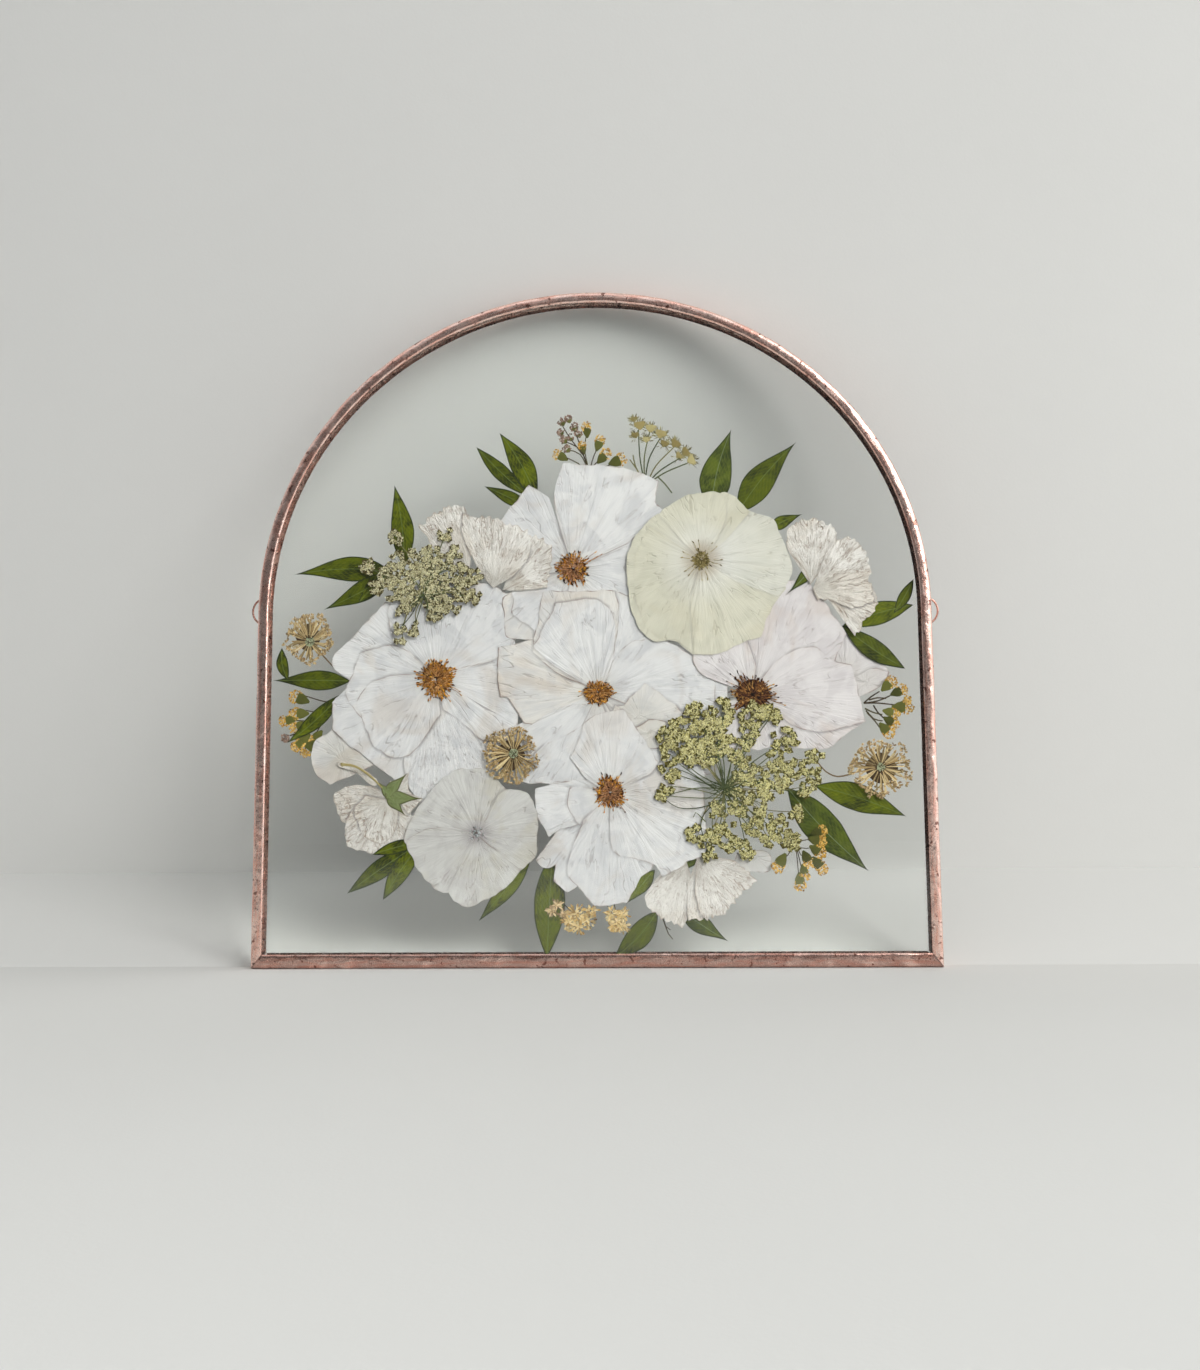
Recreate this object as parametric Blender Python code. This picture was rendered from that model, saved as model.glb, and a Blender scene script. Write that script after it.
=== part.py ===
"""Pressed flower frame: an arched copper rim holds two panes of glass with dried flowers between them.

The frame stands upright in the XZ plane and faces -Y. Its origin is the middle of its bottom edge.
Lengths are in metres, except the outlines, whose points are (x, z) in millimetres from the origin.
"""
import math

import bmesh
import bpy
from mathutils import Vector

MM = 0.001

# Rim
WIDTH = 0.280
SPRING_HEIGHT = 0.1465
ARCH_RISE = 0.1365
SIDE_FACE = 0.0047
BOTTOM_FACE = 0.0058
RIM_WALL = 0.0007
GROOVE_START = 0.45
RAIL_GAP = 0.0003
ARCH_STEPS = 40
SIDE_STEPS = 3

# Front half of the rim's rounded section: (part of the way inward, part of the rim's half thickness)
RIM_FRONT = [(1.0, 0.91), (0.88, 0.975), (0.66, 1.0), (0.36, 0.98), (0.14, 0.89), (0.03, 0.76), (0.0, 0.6)]

# Glass, and the space for the flowers between the panes
GLASS_THICKNESS = 0.0020
CAVITY = 0.0030
GLASS_GAP = 0.0003
GROOVE_HALF = CAVITY / 2 + GLASS_THICKNESS + GLASS_GAP
RIM_HALF = GROOVE_HALF + RIM_WALL

# Hanging rings, soldered to the outer edge of the rim
LEFT_RING_HEIGHT = 0.1475
RIGHT_RING_HEIGHT = 0.1445
RING_RADIUS = 0.0058
RING_WIRE = 0.0009
RING_REACH = 0.0035
RING_STEPS = 12
RING_BEVEL_STEPS = 2
RING_OPENING_SHARE = 0.97

# Layers of pressed pieces, counted from the front pane to the back pane
SHEET = 0.00015
LAYER_PITCH = 0.00035
BACK_LAYER = 7
FRONT_LAYER_THICKNESS = 0.0005
PANE_CLEARANCE = 0.0002
DISC_HEIGHT = 0.0006
LOW_DISC_HEIGHT = 0.0003
NEXT_PART_INSET = 0.00001

# Outlines
OUTLINE_STEPS = 3
DISC_SIDES = 14
LEAF_STATIONS = 6
SEED_HEAD_LOBES = 11
SEED_HEAD_LOBE_DEPTH = 0.14
SMOOTH_ANGLE = math.radians(40)

# Colours, each with its roughness and metallic value
FINISHES = {
    "copper": ((0.42, 0.17, 0.12), 0.32, 1.0),
    "glass": ((0.80, 0.86, 0.84), 0.03, 0.0),
    "white_petal": ((0.80, 0.81, 0.82), 0.6, 0.0),
    "cream_petal": ((0.80, 0.80, 0.66), 0.6, 0.0),
    "blush_petal": ((0.78, 0.72, 0.68), 0.6, 0.0),
    "green_leaf": ((0.07, 0.17, 0.03), 0.5, 0.0),
    "grey_leaf": ((0.16, 0.25, 0.15), 0.55, 0.0),
    "lace": ((0.46, 0.50, 0.28), 0.7, 0.0),
    "straw": ((0.64, 0.50, 0.32), 0.7, 0.0),
    "yellow_bud": ((0.68, 0.48, 0.20), 0.65, 0.0),
    "brown_twig": ((0.16, 0.08, 0.05), 0.7, 0.0),
}


def clear_scene():
    for item in list(bpy.data.objects):
        bpy.data.objects.remove(item, do_unlink=True)


def finish(name):
    material = bpy.data.materials.get(name)
    if material is None:
        colour, roughness, metallic = FINISHES[name]
        material = bpy.data.materials.new(name)
        material.use_nodes = True
        shader = material.node_tree.nodes["Principled BSDF"]
        shader.inputs["Base Color"].default_value = (*colour, 1.0)
        shader.inputs["Roughness"].default_value = roughness
        shader.inputs["Metallic"].default_value = metallic
        material.diffuse_color = (*colour, 1.0)
    return material


def add_object(name, data, location, finish_name, parent):
    item = bpy.data.objects.new(name, data)
    item.location = location
    item.parent = parent
    material = finish(finish_name).copy()
    material.name = name + "_" + finish_name
    data.materials.append(material)
    bpy.context.collection.objects.link(item)
    return item


def as_mesh(name, work):
    bmesh.ops.recalc_face_normals(work, faces=work.faces)
    mesh = bpy.data.meshes.new(name)
    work.to_mesh(mesh)
    work.free()
    mesh.shade_smooth()
    mesh.set_sharp_from_angle(angle=SMOOTH_ANGLE)
    return mesh


# Outlines

def smooth_loop(points, corners):
    """Closed curve through the points; those numbered in corners stay sharp."""
    loop = []
    count = len(points)
    for index in range(count):
        here = Vector(points[index])
        after = Vector(points[(index + 1) % count])
        before = Vector(points[index - 1])
        beyond = Vector(points[(index + 2) % count])
        leave = after - here if index in corners else (after - before) / 2
        arrive = after - here if (index + 1) % count in corners else (beyond - here) / 2
        for step in range(OUTLINE_STEPS):
            t = step / OUTLINE_STEPS
            place = ((2 * t**3 - 3 * t**2 + 1) * here + (t**3 - 2 * t**2 + t) * leave
                     + (3 * t**2 - 2 * t**3) * after + (t**3 - t**2) * arrive)
            loop.append((place.x, place.y))
    return loop


def ellipse(half_width, half_height):
    turns = [2 * math.pi * k / DISC_SIDES for k in range(DISC_SIDES)]
    return [(half_width * math.cos(a), half_height * math.sin(a)) for a in turns]


def scalloped(centre, radius):
    """Round outline of a seed head, drawn in between equal lobes of three points each."""
    loop = []
    for k in range(3 * SEED_HEAD_LOBES):
        angle = 2 * math.pi * k / (3 * SEED_HEAD_LOBES)
        reach = radius * (1 - SEED_HEAD_LOBE_DEPTH) if k % 3 == 0 else radius
        loop.append((centre[0] + reach * math.cos(angle), centre[1] + reach * math.sin(angle)))
    return loop


def leaf_outline(tip, base, width, bend, belly):
    """Pointed leaf. belly is where it is widest, from tip to base, and bend bows its midrib sideways."""
    start = Vector(tip)
    along = Vector(base) - start
    across = Vector((along.y, -along.x)).normalized()
    power = math.log(0.5) / math.log(belly)
    sides = {1: [], -1: []}
    for side in sides:
        for k in range(1, LEAF_STATIONS):
            t = k / LEAF_STATIONS
            half = width / 2 * math.sin(math.pi * t**power)
            bow = bend * math.sin(math.pi * t)
            place = start + along * t + across * (bow + side * half)
            sides[side].append((place.x, place.y))
    return [tuple(tip)] + sides[1] + [tuple(base)] + sides[-1][::-1]


# Rim and glass

def arch_stations(inset_side, inset_bottom):
    """Points (x, z) of the line that runs inset from the rim's outer edge, from left foot to right foot."""
    half = WIDTH / 2
    stations = []
    heights = [inset_bottom + (SPRING_HEIGHT - inset_bottom) * k / SIDE_STEPS for k in range(SIDE_STEPS)]
    for height in heights:
        stations.append(Vector((-half + inset_side, height)))
    for k in range(ARCH_STEPS + 1):
        angle = math.pi * (1 - k / ARCH_STEPS)
        edge = Vector((half * math.cos(angle), ARCH_RISE * math.sin(angle)))
        normal = Vector((edge.x / half**2, edge.y / ARCH_RISE**2)).normalized()
        stations.append(Vector((0, SPRING_HEIGHT)) + edge - normal * inset_side)
    for height in reversed(heights):
        stations.append(Vector((half - inset_side, height)))
    return stations


def rim_section():
    """Rounded bead with a groove for the glass: (part of the way inward, y), once round."""
    front = [(1.0, -GROOVE_HALF)] + [(inward, -RIM_HALF * share) for inward, share in RIM_FRONT]
    back = [(inward, -y) for inward, y in reversed(front)]
    groove = [(GROOVE_START, GROOVE_HALF), (GROOVE_START, -GROOVE_HALF)]
    return front + back + groove


def rail_mesh(name, outer, inner):
    """Sweeps the rim's section from station to station, and closes both ends."""
    work = bmesh.new()
    rings = []
    for edge, lip in zip(outer, inner):
        ring = []
        for inward, y in rim_section():
            place = edge.lerp(lip, inward)
            ring.append(work.verts.new((place.x, y, place.y)))
        rings.append(ring)
    for first, second in zip(rings, rings[1:]):
        for k in range(len(first)):
            nxt = (k + 1) % len(first)
            work.faces.new((first[k], first[nxt], second[nxt], second[k]))
    work.faces.new(rings[0])
    work.faces.new(list(reversed(rings[-1])))
    return as_mesh(name, work)


def build_rim(parent):
    outer = arch_stations(0.0, 0.0)
    inner = arch_stations(SIDE_FACE, BOTTOM_FACE)
    add_object("rim_arch_rail", rail_mesh("rim_arch_rail", outer, inner), (0, 0, 0), "copper", parent)

    half = WIDTH / 2
    mitre = RAIL_GAP * math.hypot(SIDE_FACE, BOTTOM_FACE) / BOTTOM_FACE
    low = [Vector((-half + mitre, 0)), Vector((half - mitre, 0))]
    high = [Vector((-half + SIDE_FACE + mitre, BOTTOM_FACE)), Vector((half - SIDE_FACE - mitre, BOTTOM_FACE))]
    add_object("rim_bottom_rail", rail_mesh("rim_bottom_rail", low, high), (0, 0, 0), "copper", parent)


def slab_mesh(name, outline, thickness):
    """Flat piece of the outline's shape; the outline is in metres round the object's own origin."""
    work = bmesh.new()
    front = [work.verts.new((x, -thickness / 2, z)) for x, z in outline]
    face = work.faces.new(front)
    bmesh.ops.recalc_face_normals(work, faces=[face])
    raised = bmesh.ops.extrude_face_region(work, geom=[face])["geom"]
    moved = [item for item in raised if isinstance(item, bmesh.types.BMVert)]
    bmesh.ops.translate(work, verts=moved, vec=(0, thickness, 0))
    return as_mesh(name, work)


def build_glass(parent):
    side_inset = SIDE_FACE * GROOVE_START + GLASS_GAP
    bottom_inset = BOTTOM_FACE * GROOVE_START + GLASS_GAP
    outline = [(p.x, p.y) for p in arch_stations(side_inset, bottom_inset)]
    offset = CAVITY / 2 + GLASS_THICKNESS / 2
    for name, y in (("glass_front", -offset), ("glass_back", offset)):
        add_object(name, slab_mesh(name, outline, GLASS_THICKNESS), (0, y, 0), "glass", parent)


def build_ring(name, side, height, parent):
    """Loop of round wire that stands out from the rim and ends just short of it."""
    middle = WIDTH / 2 + RING_REACH - RING_RADIUS - RING_WIRE / 2
    opening = math.acos((WIDTH / 2 + RAIL_GAP - middle) / RING_RADIUS) * RING_OPENING_SHARE
    curve = bpy.data.curves.new(name, "CURVE")
    curve.dimensions = "3D"
    curve.bevel_depth = RING_WIRE / 2
    curve.bevel_resolution = RING_BEVEL_STEPS
    curve.use_fill_caps = True
    wire = curve.splines.new("POLY")
    wire.points.add(RING_STEPS)
    for k, point in enumerate(wire.points):
        angle = opening * (2 * k / RING_STEPS - 1)
        point.co = (side * RING_RADIUS * math.cos(angle), 0, RING_RADIUS * math.sin(angle), 1)
    add_object(name, curve, (side * middle, 0, height), "copper", parent)


# Pressed pieces

def layer_place(layer):
    """Middle in y and thickness of the sheets in a layer."""
    if layer == 1:
        front = -CAVITY / 2 + PANE_CLEARANCE
        return front + FRONT_LAYER_THICKNESS / 2, FRONT_LAYER_THICKNESS
    back = CAVITY / 2 - PANE_CLEARANCE - SHEET / 2
    return back - (BACK_LAYER - layer) * LAYER_PITCH, SHEET


def pressed_piece(name, outline, layer, finish_name, parent):
    """One flat piece in its layer, with its origin in the middle of its outline's points."""
    y, thickness = layer_place(layer)
    centre_x = sum(x for x, _ in outline) / len(outline)
    centre_z = sum(z for _, z in outline) / len(outline)
    local = [((x - centre_x) * MM, (z - centre_z) * MM) for x, z in outline]
    place = (centre_x * MM, y, centre_z * MM)
    return add_object(name, slab_mesh(name, local, thickness), place, finish_name, parent)


def thin(item, number):
    """Draws the faces of a joined part inside those of the parts before it."""
    for vertex in item.data.vertices:
        vertex.co.y *= 1 - number * 2 * NEXT_PART_INSET / SHEET


def unite(body, helper):
    """Joins a hidden helper solid to the body."""
    helper.hide_render = True
    helper.hide_viewport = True
    helper.display_type = "WIRE"
    union = body.modifiers.new(helper.name, "BOOLEAN")
    union.operation = "UNION"
    union.solver = "EXACT"
    union.object = helper


def add_disc(flower, centre, half_width, half_height, height, parent):
    """Stamens: a low boss that stands forward from the middle of a flower."""
    outline = [(x * MM, z * MM) for x, z in ellipse(half_width, half_height)]
    name = flower.name + "_disc"
    mesh = slab_mesh(name, outline, height)
    place = (centre[0] * MM, flower.location.y - height / 2, centre[1] * MM)
    unite(flower, add_object(name, mesh, place, "straw", parent))


def build_flower(name, layer, finish_name, points, corners, disc, parent):
    flower = pressed_piece(name, smooth_loop(points, corners), layer, finish_name, parent)
    if disc:
        centre, half_width, half_height, height = disc
        add_disc(flower, centre, half_width, half_height, height, parent)


def build_leaves(name, layer, finish_name, leaves, parent):
    """One leaf, or a sprig whose leaves meet at their bases."""
    sprig = None
    for number, (tip, base, width, bend, belly) in enumerate(leaves):
        outline = leaf_outline(tip, base, width, bend, belly)
        if sprig is None:
            sprig = pressed_piece(name, outline, layer, finish_name, parent)
            continue
        helper = pressed_piece(name + "_leaf_" + str(number), outline, layer, finish_name, parent)
        thin(helper, number)
        unite(sprig, helper)


# name, layer, finish, points, sharp corners, stamens (centre, half width, half height, height) or None
FLOWERS = [
    ("white_flower_top", 5, "white_petal",
     [(-12, 209.5), (8, 208), (28, 201), (26.5, 192), (31, 187), (25, 170), (20, 150), (0, 141), (-24, 134.5),
      (-33, 134.5), (-36.3, 143), (-37.4, 152), (-33.5, 161), (-41, 174), (-38, 186), (-26.5, 200.5),
      (-18, 195)], (0, 2, 3, 9, 14, 15, 16), ((-8, 164), 7.6, 7.4, DISC_HEIGHT)),
    ("white_flower_left", 5, "white_petal",
     [(-87, 151), (-97, 140), (-108, 129), (-108.5, 124), (-101.8, 118.5), (-103.8, 114), (-108.6, 109),
      (-108.8, 97), (-80.5, 75), (-76, 79), (-75.5, 72), (-69, 66), (-55, 68), (-44, 78), (-30, 98),
      (-40, 104), (-39.8, 131), (-38.8, 153), (-47, 158), (-66, 160)],
     (4, 6, 7, 8, 10, 14, 17), ((-65, 118.5), 8.6, 8.8, DISC_HEIGHT)),
    ("white_flower_middle", 4, "white_petal",
     [(-20.5, 154.5), (10, 154.5), (26, 148), (42, 132), (56, 118), (50, 100), (34, 84), (8, 76), (-24, 74),
      (-31, 96), (-28, 99), (-36, 110), (-38.5, 110), (-39.7, 118), (-39.5, 131), (-25, 129)],
     (0, 8, 9, 10, 11, 13, 14), ((2.8, 111.4), 6.6, 5.2, DISC_HEIGHT)),
    ("white_flower_right", 3, "blush_petal",
     [(41.5, 127.5), (46, 139), (62, 150), (80, 157.5), (90, 157), (105, 135), (100.5, 124), (107.5, 122),
      (110.3, 110), (112, 99), (97, 88), (80, 89), (66, 95), (57, 104), (51, 117), (44, 121)],
     (0, 4, 5, 7, 9), ((66, 110.5), 9.8, 8.2, LOW_DISC_HEIGHT)),
    ("white_flower_bottom", 3, "white_petal",
     [(12.5, 105), (1, 102), (-4.5, 97), (-7, 90), (-9.8, 86), (-8, 81), (-3.5, 77), (-10, 74.5), (-22.8, 68),
      (-22, 60), (-24, 43.5), (-20, 40), (-16, 41), (-16.5, 35), (-11, 30), (-7, 32.5), (0, 24.3), (13.5, 26),
      (19.5, 36.5), (28, 36.5), (38, 42), (46, 47), (45, 61), (37, 73), (28, 75), (25, 85), (18, 97)],
     (0, 4, 7, 8, 10, 12, 13, 14, 15, 16, 17, 19), ((7, 71), 7.2, 7.4, DISC_HEIGHT)),
    ("cream_flower", 2, "cream_petal",
     [(28, 187), (37, 193.5), (48, 196), (60, 194), (67, 187.5), (76, 184), (80, 175), (83.5, 167),
      (83, 159), (78, 151), (73, 142), (70, 134.5), (60, 131), (52, 127.5), (42, 127.5), (34, 133),
      (26, 133.5), (19, 140), (16, 150), (14.5, 160), (15.5, 171), (20, 180)],
     (0, 4, 8, 12, 15), ((46, 167), 5.2, 5.2, LOW_DISC_HEIGHT)),
    ("pale_round_flower", 2, "white_petal",
     [(-78, 50), (-76, 60), (-70, 69), (-60, 79), (-50, 81), (-43, 79.5), (-36, 72.5), (-28, 71), (-23.5, 65),
      (-22.5, 54), (-24, 44), (-30, 39), (-36, 32), (-45, 27), (-52, 24.3), (-58, 26.5), (-66, 32), (-72, 38),
      (-76, 45)], (6, 10, 11, 15), ((-48.4, 54), 1.9, 1.9, LOW_DISC_HEIGHT)),
    ("ruffled_flower_upper_left", 3, "blush_petal",
     [(-73, 184), (-66, 190), (-57, 192), (-50, 187), (-38, 185.5), (-26, 181), (-17, 174), (-19, 161),
      (-29, 160), (-36, 162.5), (-40, 155), (-44.5, 163), (-49, 168), (-57, 166), (-64, 172), (-70, 180)],
     (2, 10), None),
    ("ruffled_flower_right", 1, "blush_petal",
     [(91, 156), (88, 164), (81.5, 171), (83, 179), (93, 184), (101, 180), (102.5, 174), (110, 174.5),
      (115, 167), (116, 158), (118.5, 148), (114.5, 142), (109, 134), (105.5, 141), (101, 148), (94.5, 149)],
     (0, 12), None),
    ("ruffled_flower_bottom", 4, "blush_petal",
     [(20.8, 28), (25, 36), (37, 41), (41, 44), (50, 43), (58, 41), (66.5, 34), (60, 28), (52, 21), (41, 18.5),
      (36, 15.5), (30, 18), (24, 21)], (3, 6), None),
    ("bud_flower_lower_left", 4, "blush_petal",
     [(-107.5, 70), (-101, 74), (-91, 74), (-99, 80.5), (-104.8, 82), (-104.8, 84.3), (-99, 83), (-89, 76),
      (-84, 76), (-80.5, 74.6), (-76.3, 79.6), (-75.8, 71.5), (-69.8, 68.5), (-74, 60), (-78, 52), (-84, 45),
      (-94, 47), (-101, 50), (-101.5, 58), (-106, 64)], (2, 4, 5, 7, 10, 12), None),
    ("loose_petal_left", 6, "blush_petal",
     [(-108.5, 98), (-117, 91), (-115.5, 79), (-109, 74.6), (-98, 79), (-91, 82.5), (-99, 90)], (0, 3, 5), None),
    ("loose_petal_right", 7, "blush_petal",
     [(105, 136.5), (112, 133), (118, 126), (122.5, 119), (118.5, 113), (109, 109), (100, 112), (98, 124)],
     (0, 3), None),
    ("loose_petal_bottom", 5, "cream_petal",
     [(58, 46), (70, 46.5), (72.5, 42), (71, 38), (62, 38), (57.5, 41)], (0,), None),
]

# name, layer, finish, points, sharp corners
CLUSTERS = [
    ("lace_umbel_left", 1, "lace",
     [(-98.5, 164), (-93, 168), (-85.5, 170), (-88.5, 178), (-82, 181.5), (-76, 176), (-70, 179), (-64, 181),
      (-58.5, 182), (-59, 174), (-54, 170), (-45.5, 163), (-46.5, 153), (-53, 146), (-63, 142), (-70, 142),
      (-75, 136), (-81, 132), (-84, 139), (-84, 146), (-90, 152), (-96, 155)], ()),
    ("lace_umbel_right", 1, "lace",
     [(24.5, 93), (30, 99), (38, 101), (41, 107), (48, 106), (54, 109.5), (64, 109), (72, 107), (77.5, 103),
      (76, 97), (84, 95), (87, 88), (95, 86.5), (93, 76), (88, 70), (78, 66), (85, 62), (86.5, 50), (79, 46.5),
      (70, 46), (62, 41.5), (55, 43.5), (46, 43.5), (39.5, 49), (41, 57), (36, 64), (28, 67), (26, 72),
      (28.5, 79), (26, 86)], ()),
    ("yellow_bud_sprig_left", 7, "yellow_bud",
     [(-107.5, 109), (-114, 111), (-122, 114.5), (-127.5, 112), (-126, 104), (-131, 101), (-130.5, 93),
      (-124, 87.5), (-117, 86), (-115.5, 94), (-108, 98.5)], (0, 10)),
    ("yellow_bud_sprig_right", 4, "yellow_bud",
     [(111, 106.5), (118, 113), (123, 118), (130, 112), (132.5, 105), (127.5, 100), (125.5, 93), (118, 91.5),
      (116, 97)], (0,)),
    ("yellow_bud_sprig_lower_right", 2, "yellow_bud",
     [(80, 53), (86, 55), (93.5, 57), (95.5, 50), (92, 44.5), (95.5, 40), (89, 35.5), (83.5, 30), (81, 37),
      (74, 37.5), (72, 41.5), (77, 46)], (0,)),
    ("yellow_bud_sprig_top", 7, "yellow_bud",
     [(-2, 205), (-9, 210), (-16.5, 213), (-14, 222), (-13.5, 230), (-6, 230.5), (-1, 226), (5.5, 220),
      (7, 215), (15.5, 213), (12, 208), (3, 205)], ()),
    ("green_umbel_top", 7, "lace",
     [(21, 198), (17, 212), (15, 225), (20.5, 231), (28, 228), (36, 221), (43, 216), (46, 208), (38, 209),
      (29, 203), (34, 195.5), (28, 199)], (0, 7, 10)),
    ("small_flower_bottom_left", 5, "straw",
     [(-20.3, 23), (-16, 28), (-11.5, 24), (-7, 27.5), (0.5, 25.5), (3.2, 18), (-3, 15), (-7, 12.6),
      (-13.5, 15), (-14, 18)], ()),
    ("small_flower_bottom_right", 4, "straw",
     [(-2, 25), (4, 23), (4.8, 20), (7, 14), (11, 12.8), (15.3, 14.5), (13.6, 20), (14.5, 25.5)], ()),
    ("twig_bottom", 7, "brown_twig",
     [(27.5, 19.5), (29.2, 16), (29.8, 13), (32, 10.8), (32.2, 11.4), (30.6, 13.4), (30, 16.2), (28.2, 19.6)],
     (0, 3, 4, 7)),
]

# name, layer, centre, radius, far end and width of the stalk or None
SEED_HEADS = [
    ("seed_head_centre", 1, (-33.5, 86), 12.3, None),
    ("seed_head_left", 7, (-120.5, 136.5), 10.4, ((-107.5, 122.5), 0.9)),
    ("seed_head_right", 2, (118.3, 79.3), 12.6, ((92, 82), 1.0)),
]

# name, layer, finish, leaves as (tip, base, width, bend, belly)
LEAVES = [
    ("leaf_sprig_top_left", 6, "green_leaf",
     [((-48.8, 217.2), (-27, 195), 8.0, 1.0, 0.55), ((-39.3, 223.2), (-24, 194), 11.5, -1.6, 0.6),
      ((-45, 201), (-25, 190), 9.5, -1.5, 0.7)]),
    ("leaf_top_left", 6, "green_leaf", [((-83.7, 201.2), (-79, 165), 9.8, -1.2, 0.56)]),
    ("leaf_sprig_left_upper", 6, "green_leaf",
     [((-126, 163.3), (-84, 164), 11.0, -1.8, 0.62), ((-113, 148), (-84, 163.5), 9.0, 0.8, 0.6),
      ((-98.5, 150.5), (-84.5, 162.5), 5.4, -1.0, 0.5)]),
    ("leaf_sprig_left_middle", 6, "green_leaf",
     [((-134, 118.2), (-101, 117.6), 8.4, -0.2, 0.6), ((-130.5, 132), (-127.5, 118), 5.0, 1.2, 0.5)]),
    ("leaf_left_lower", 6, "green_leaf", [((-127.6, 92), (-105, 112.4), 7.0, 1.0, 0.55)]),
    ("leaf_sprig_lower_left", 3, "green_leaf",
     [((-101.2, 30), (-70, 51), 8.0, -0.6, 0.5), ((-86.4, 27.4), (-70, 51.5), 8.2, -0.8, 0.5),
      ((-91, 45.8), (-70, 51.2), 5.4, -0.4, 0.5)]),
    ("leaf_bottom_left", 6, "green_leaf", [((-47.2, 18.5), (-25.5, 44), 7.4, 0.2, 0.55)]),
    ("leaf_bottom_middle", 6, "green_leaf", [((-19.4, 3.4), (-17, 47), 13.0, 0.0, 0.5)]),
    ("leaf_bottom_right", 6, "green_leaf", [((26, 22.3), (8, 3.6), 9.6, -1.4, 0.45)]),
    ("leaf_bottom_behind", 6, "green_leaf", [((13, 25), (25, 39), 6.4, -0.2, 0.6)]),
    ("leaf_bottom_far_right", 6, "grey_leaf", [((54.6, 10), (35, 23), 7.8, -0.4, 0.62)]),
    ("leaf_grey_behind", 6, "grey_leaf", [((27.5, 36.8), (50, 48.5), 5.4, 0.2, 0.5)]),
    ("leaf_right_upper", 6, "green_leaf", [((127.4, 60), (90.5, 73), 11.4, 1.0, 0.55)]),
    ("leaf_right_lower", 6, "grey_leaf", [((111.6, 38), (79.5, 72), 14.5, -1.2, 0.58)]),
    ("leaf_small_right_top", 6, "green_leaf", [((88.4, 186), (74, 179.5), 5.6, 0.6, 0.62)]),
    ("leaf_top_right_grey", 6, "grey_leaf", [((59.4, 223), (50.0, 187), 13.4, 1.6, 0.6)]),
    ("leaf_top_right_green", 6, "green_leaf", [((86.6, 217), (61, 186.5), 12.4, 1.4, 0.62)]),
    ("leaf_sprig_right", 6, "green_leaf",
     [((133.2, 147), (103.5, 138.2), 9.6, 1.0, 0.5), ((133.6, 157.8), (125, 143.5), 4.8, -0.4, 0.5),
      ((129, 120.4), (103.5, 138.8), 8.6, -0.8, 0.5)]),
    ("leaf_small_grey", 2, "grey_leaf", [((80.2, 151.2), (92, 163.4), 5.0, 0.4, 0.72)]),
]


def build_seed_head(name, layer, centre, radius, stalk, parent):
    """Round seed head, with a straight stalk from its middle if it shows one."""
    head = pressed_piece(name, scalloped(centre, radius), layer, "straw", parent)
    if stalk:
        far_end, width = stalk
        start, end = Vector(centre), Vector(far_end)
        across = Vector((start.y - end.y, end.x - start.x)).normalized() * (width / 2)
        strip = [tuple(start + across), tuple(end + across), tuple(end - across), tuple(start - across)]
        helper = pressed_piece(name + "_stalk", strip, layer, "straw", parent)
        thin(helper, 1)
        unite(head, helper)


def build():
    clear_scene()
    root = bpy.data.objects.new("pressed_flower_frame", None)
    bpy.context.collection.objects.link(root)
    build_rim(root)
    build_glass(root)
    build_ring("hanging_ring_left", -1, LEFT_RING_HEIGHT, root)
    build_ring("hanging_ring_right", 1, RIGHT_RING_HEIGHT, root)
    for name, layer, finish_name, points, corners, disc in FLOWERS:
        build_flower(name, layer, finish_name, points, corners, disc, root)
    for name, layer, finish_name, points, corners in CLUSTERS:
        pressed_piece(name, smooth_loop(points, corners), layer, finish_name, root)
    for name, layer, centre, radius, stalk in SEED_HEADS:
        build_seed_head(name, layer, centre, radius, stalk, root)
    for name, layer, finish_name, leaves in LEAVES:
        build_leaves(name, layer, finish_name, leaves, root)


build()
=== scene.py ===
"""Looks of the pressed flower frame.

An arched copper rim holds two panes of glass, and flowers, leaves, buds and seed heads lie pressed between
them. Drawings are in millimetres: x to the right of the frame's middle line and z up from its foot. Each one
is laid over the room that its solid holds, and a height is counted forwards from the back of that room.
"""
import logging
import math
import random
from collections.abc import Callable
from dataclasses import dataclass, field
from enum import Enum

import bpy
import numpy as np
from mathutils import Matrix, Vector


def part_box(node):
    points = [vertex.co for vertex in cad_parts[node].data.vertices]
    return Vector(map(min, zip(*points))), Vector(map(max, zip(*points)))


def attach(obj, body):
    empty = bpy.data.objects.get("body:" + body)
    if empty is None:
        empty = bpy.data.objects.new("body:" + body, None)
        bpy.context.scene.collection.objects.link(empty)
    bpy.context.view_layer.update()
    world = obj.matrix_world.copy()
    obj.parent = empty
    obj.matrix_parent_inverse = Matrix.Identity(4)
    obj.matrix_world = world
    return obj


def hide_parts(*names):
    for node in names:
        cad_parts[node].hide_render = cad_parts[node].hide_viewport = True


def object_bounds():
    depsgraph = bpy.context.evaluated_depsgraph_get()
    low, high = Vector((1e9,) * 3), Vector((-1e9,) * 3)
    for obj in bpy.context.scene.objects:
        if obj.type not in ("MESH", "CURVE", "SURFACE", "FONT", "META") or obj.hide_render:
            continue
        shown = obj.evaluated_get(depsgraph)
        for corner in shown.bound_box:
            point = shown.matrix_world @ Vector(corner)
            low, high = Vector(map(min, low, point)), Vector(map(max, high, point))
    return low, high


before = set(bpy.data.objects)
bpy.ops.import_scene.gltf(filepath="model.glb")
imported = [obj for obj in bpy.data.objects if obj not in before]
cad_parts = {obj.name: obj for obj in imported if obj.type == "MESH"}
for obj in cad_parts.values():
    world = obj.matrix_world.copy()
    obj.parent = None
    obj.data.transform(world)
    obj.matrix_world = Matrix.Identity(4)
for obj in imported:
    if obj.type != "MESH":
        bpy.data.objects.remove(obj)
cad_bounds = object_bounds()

MM = 0.001
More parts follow.
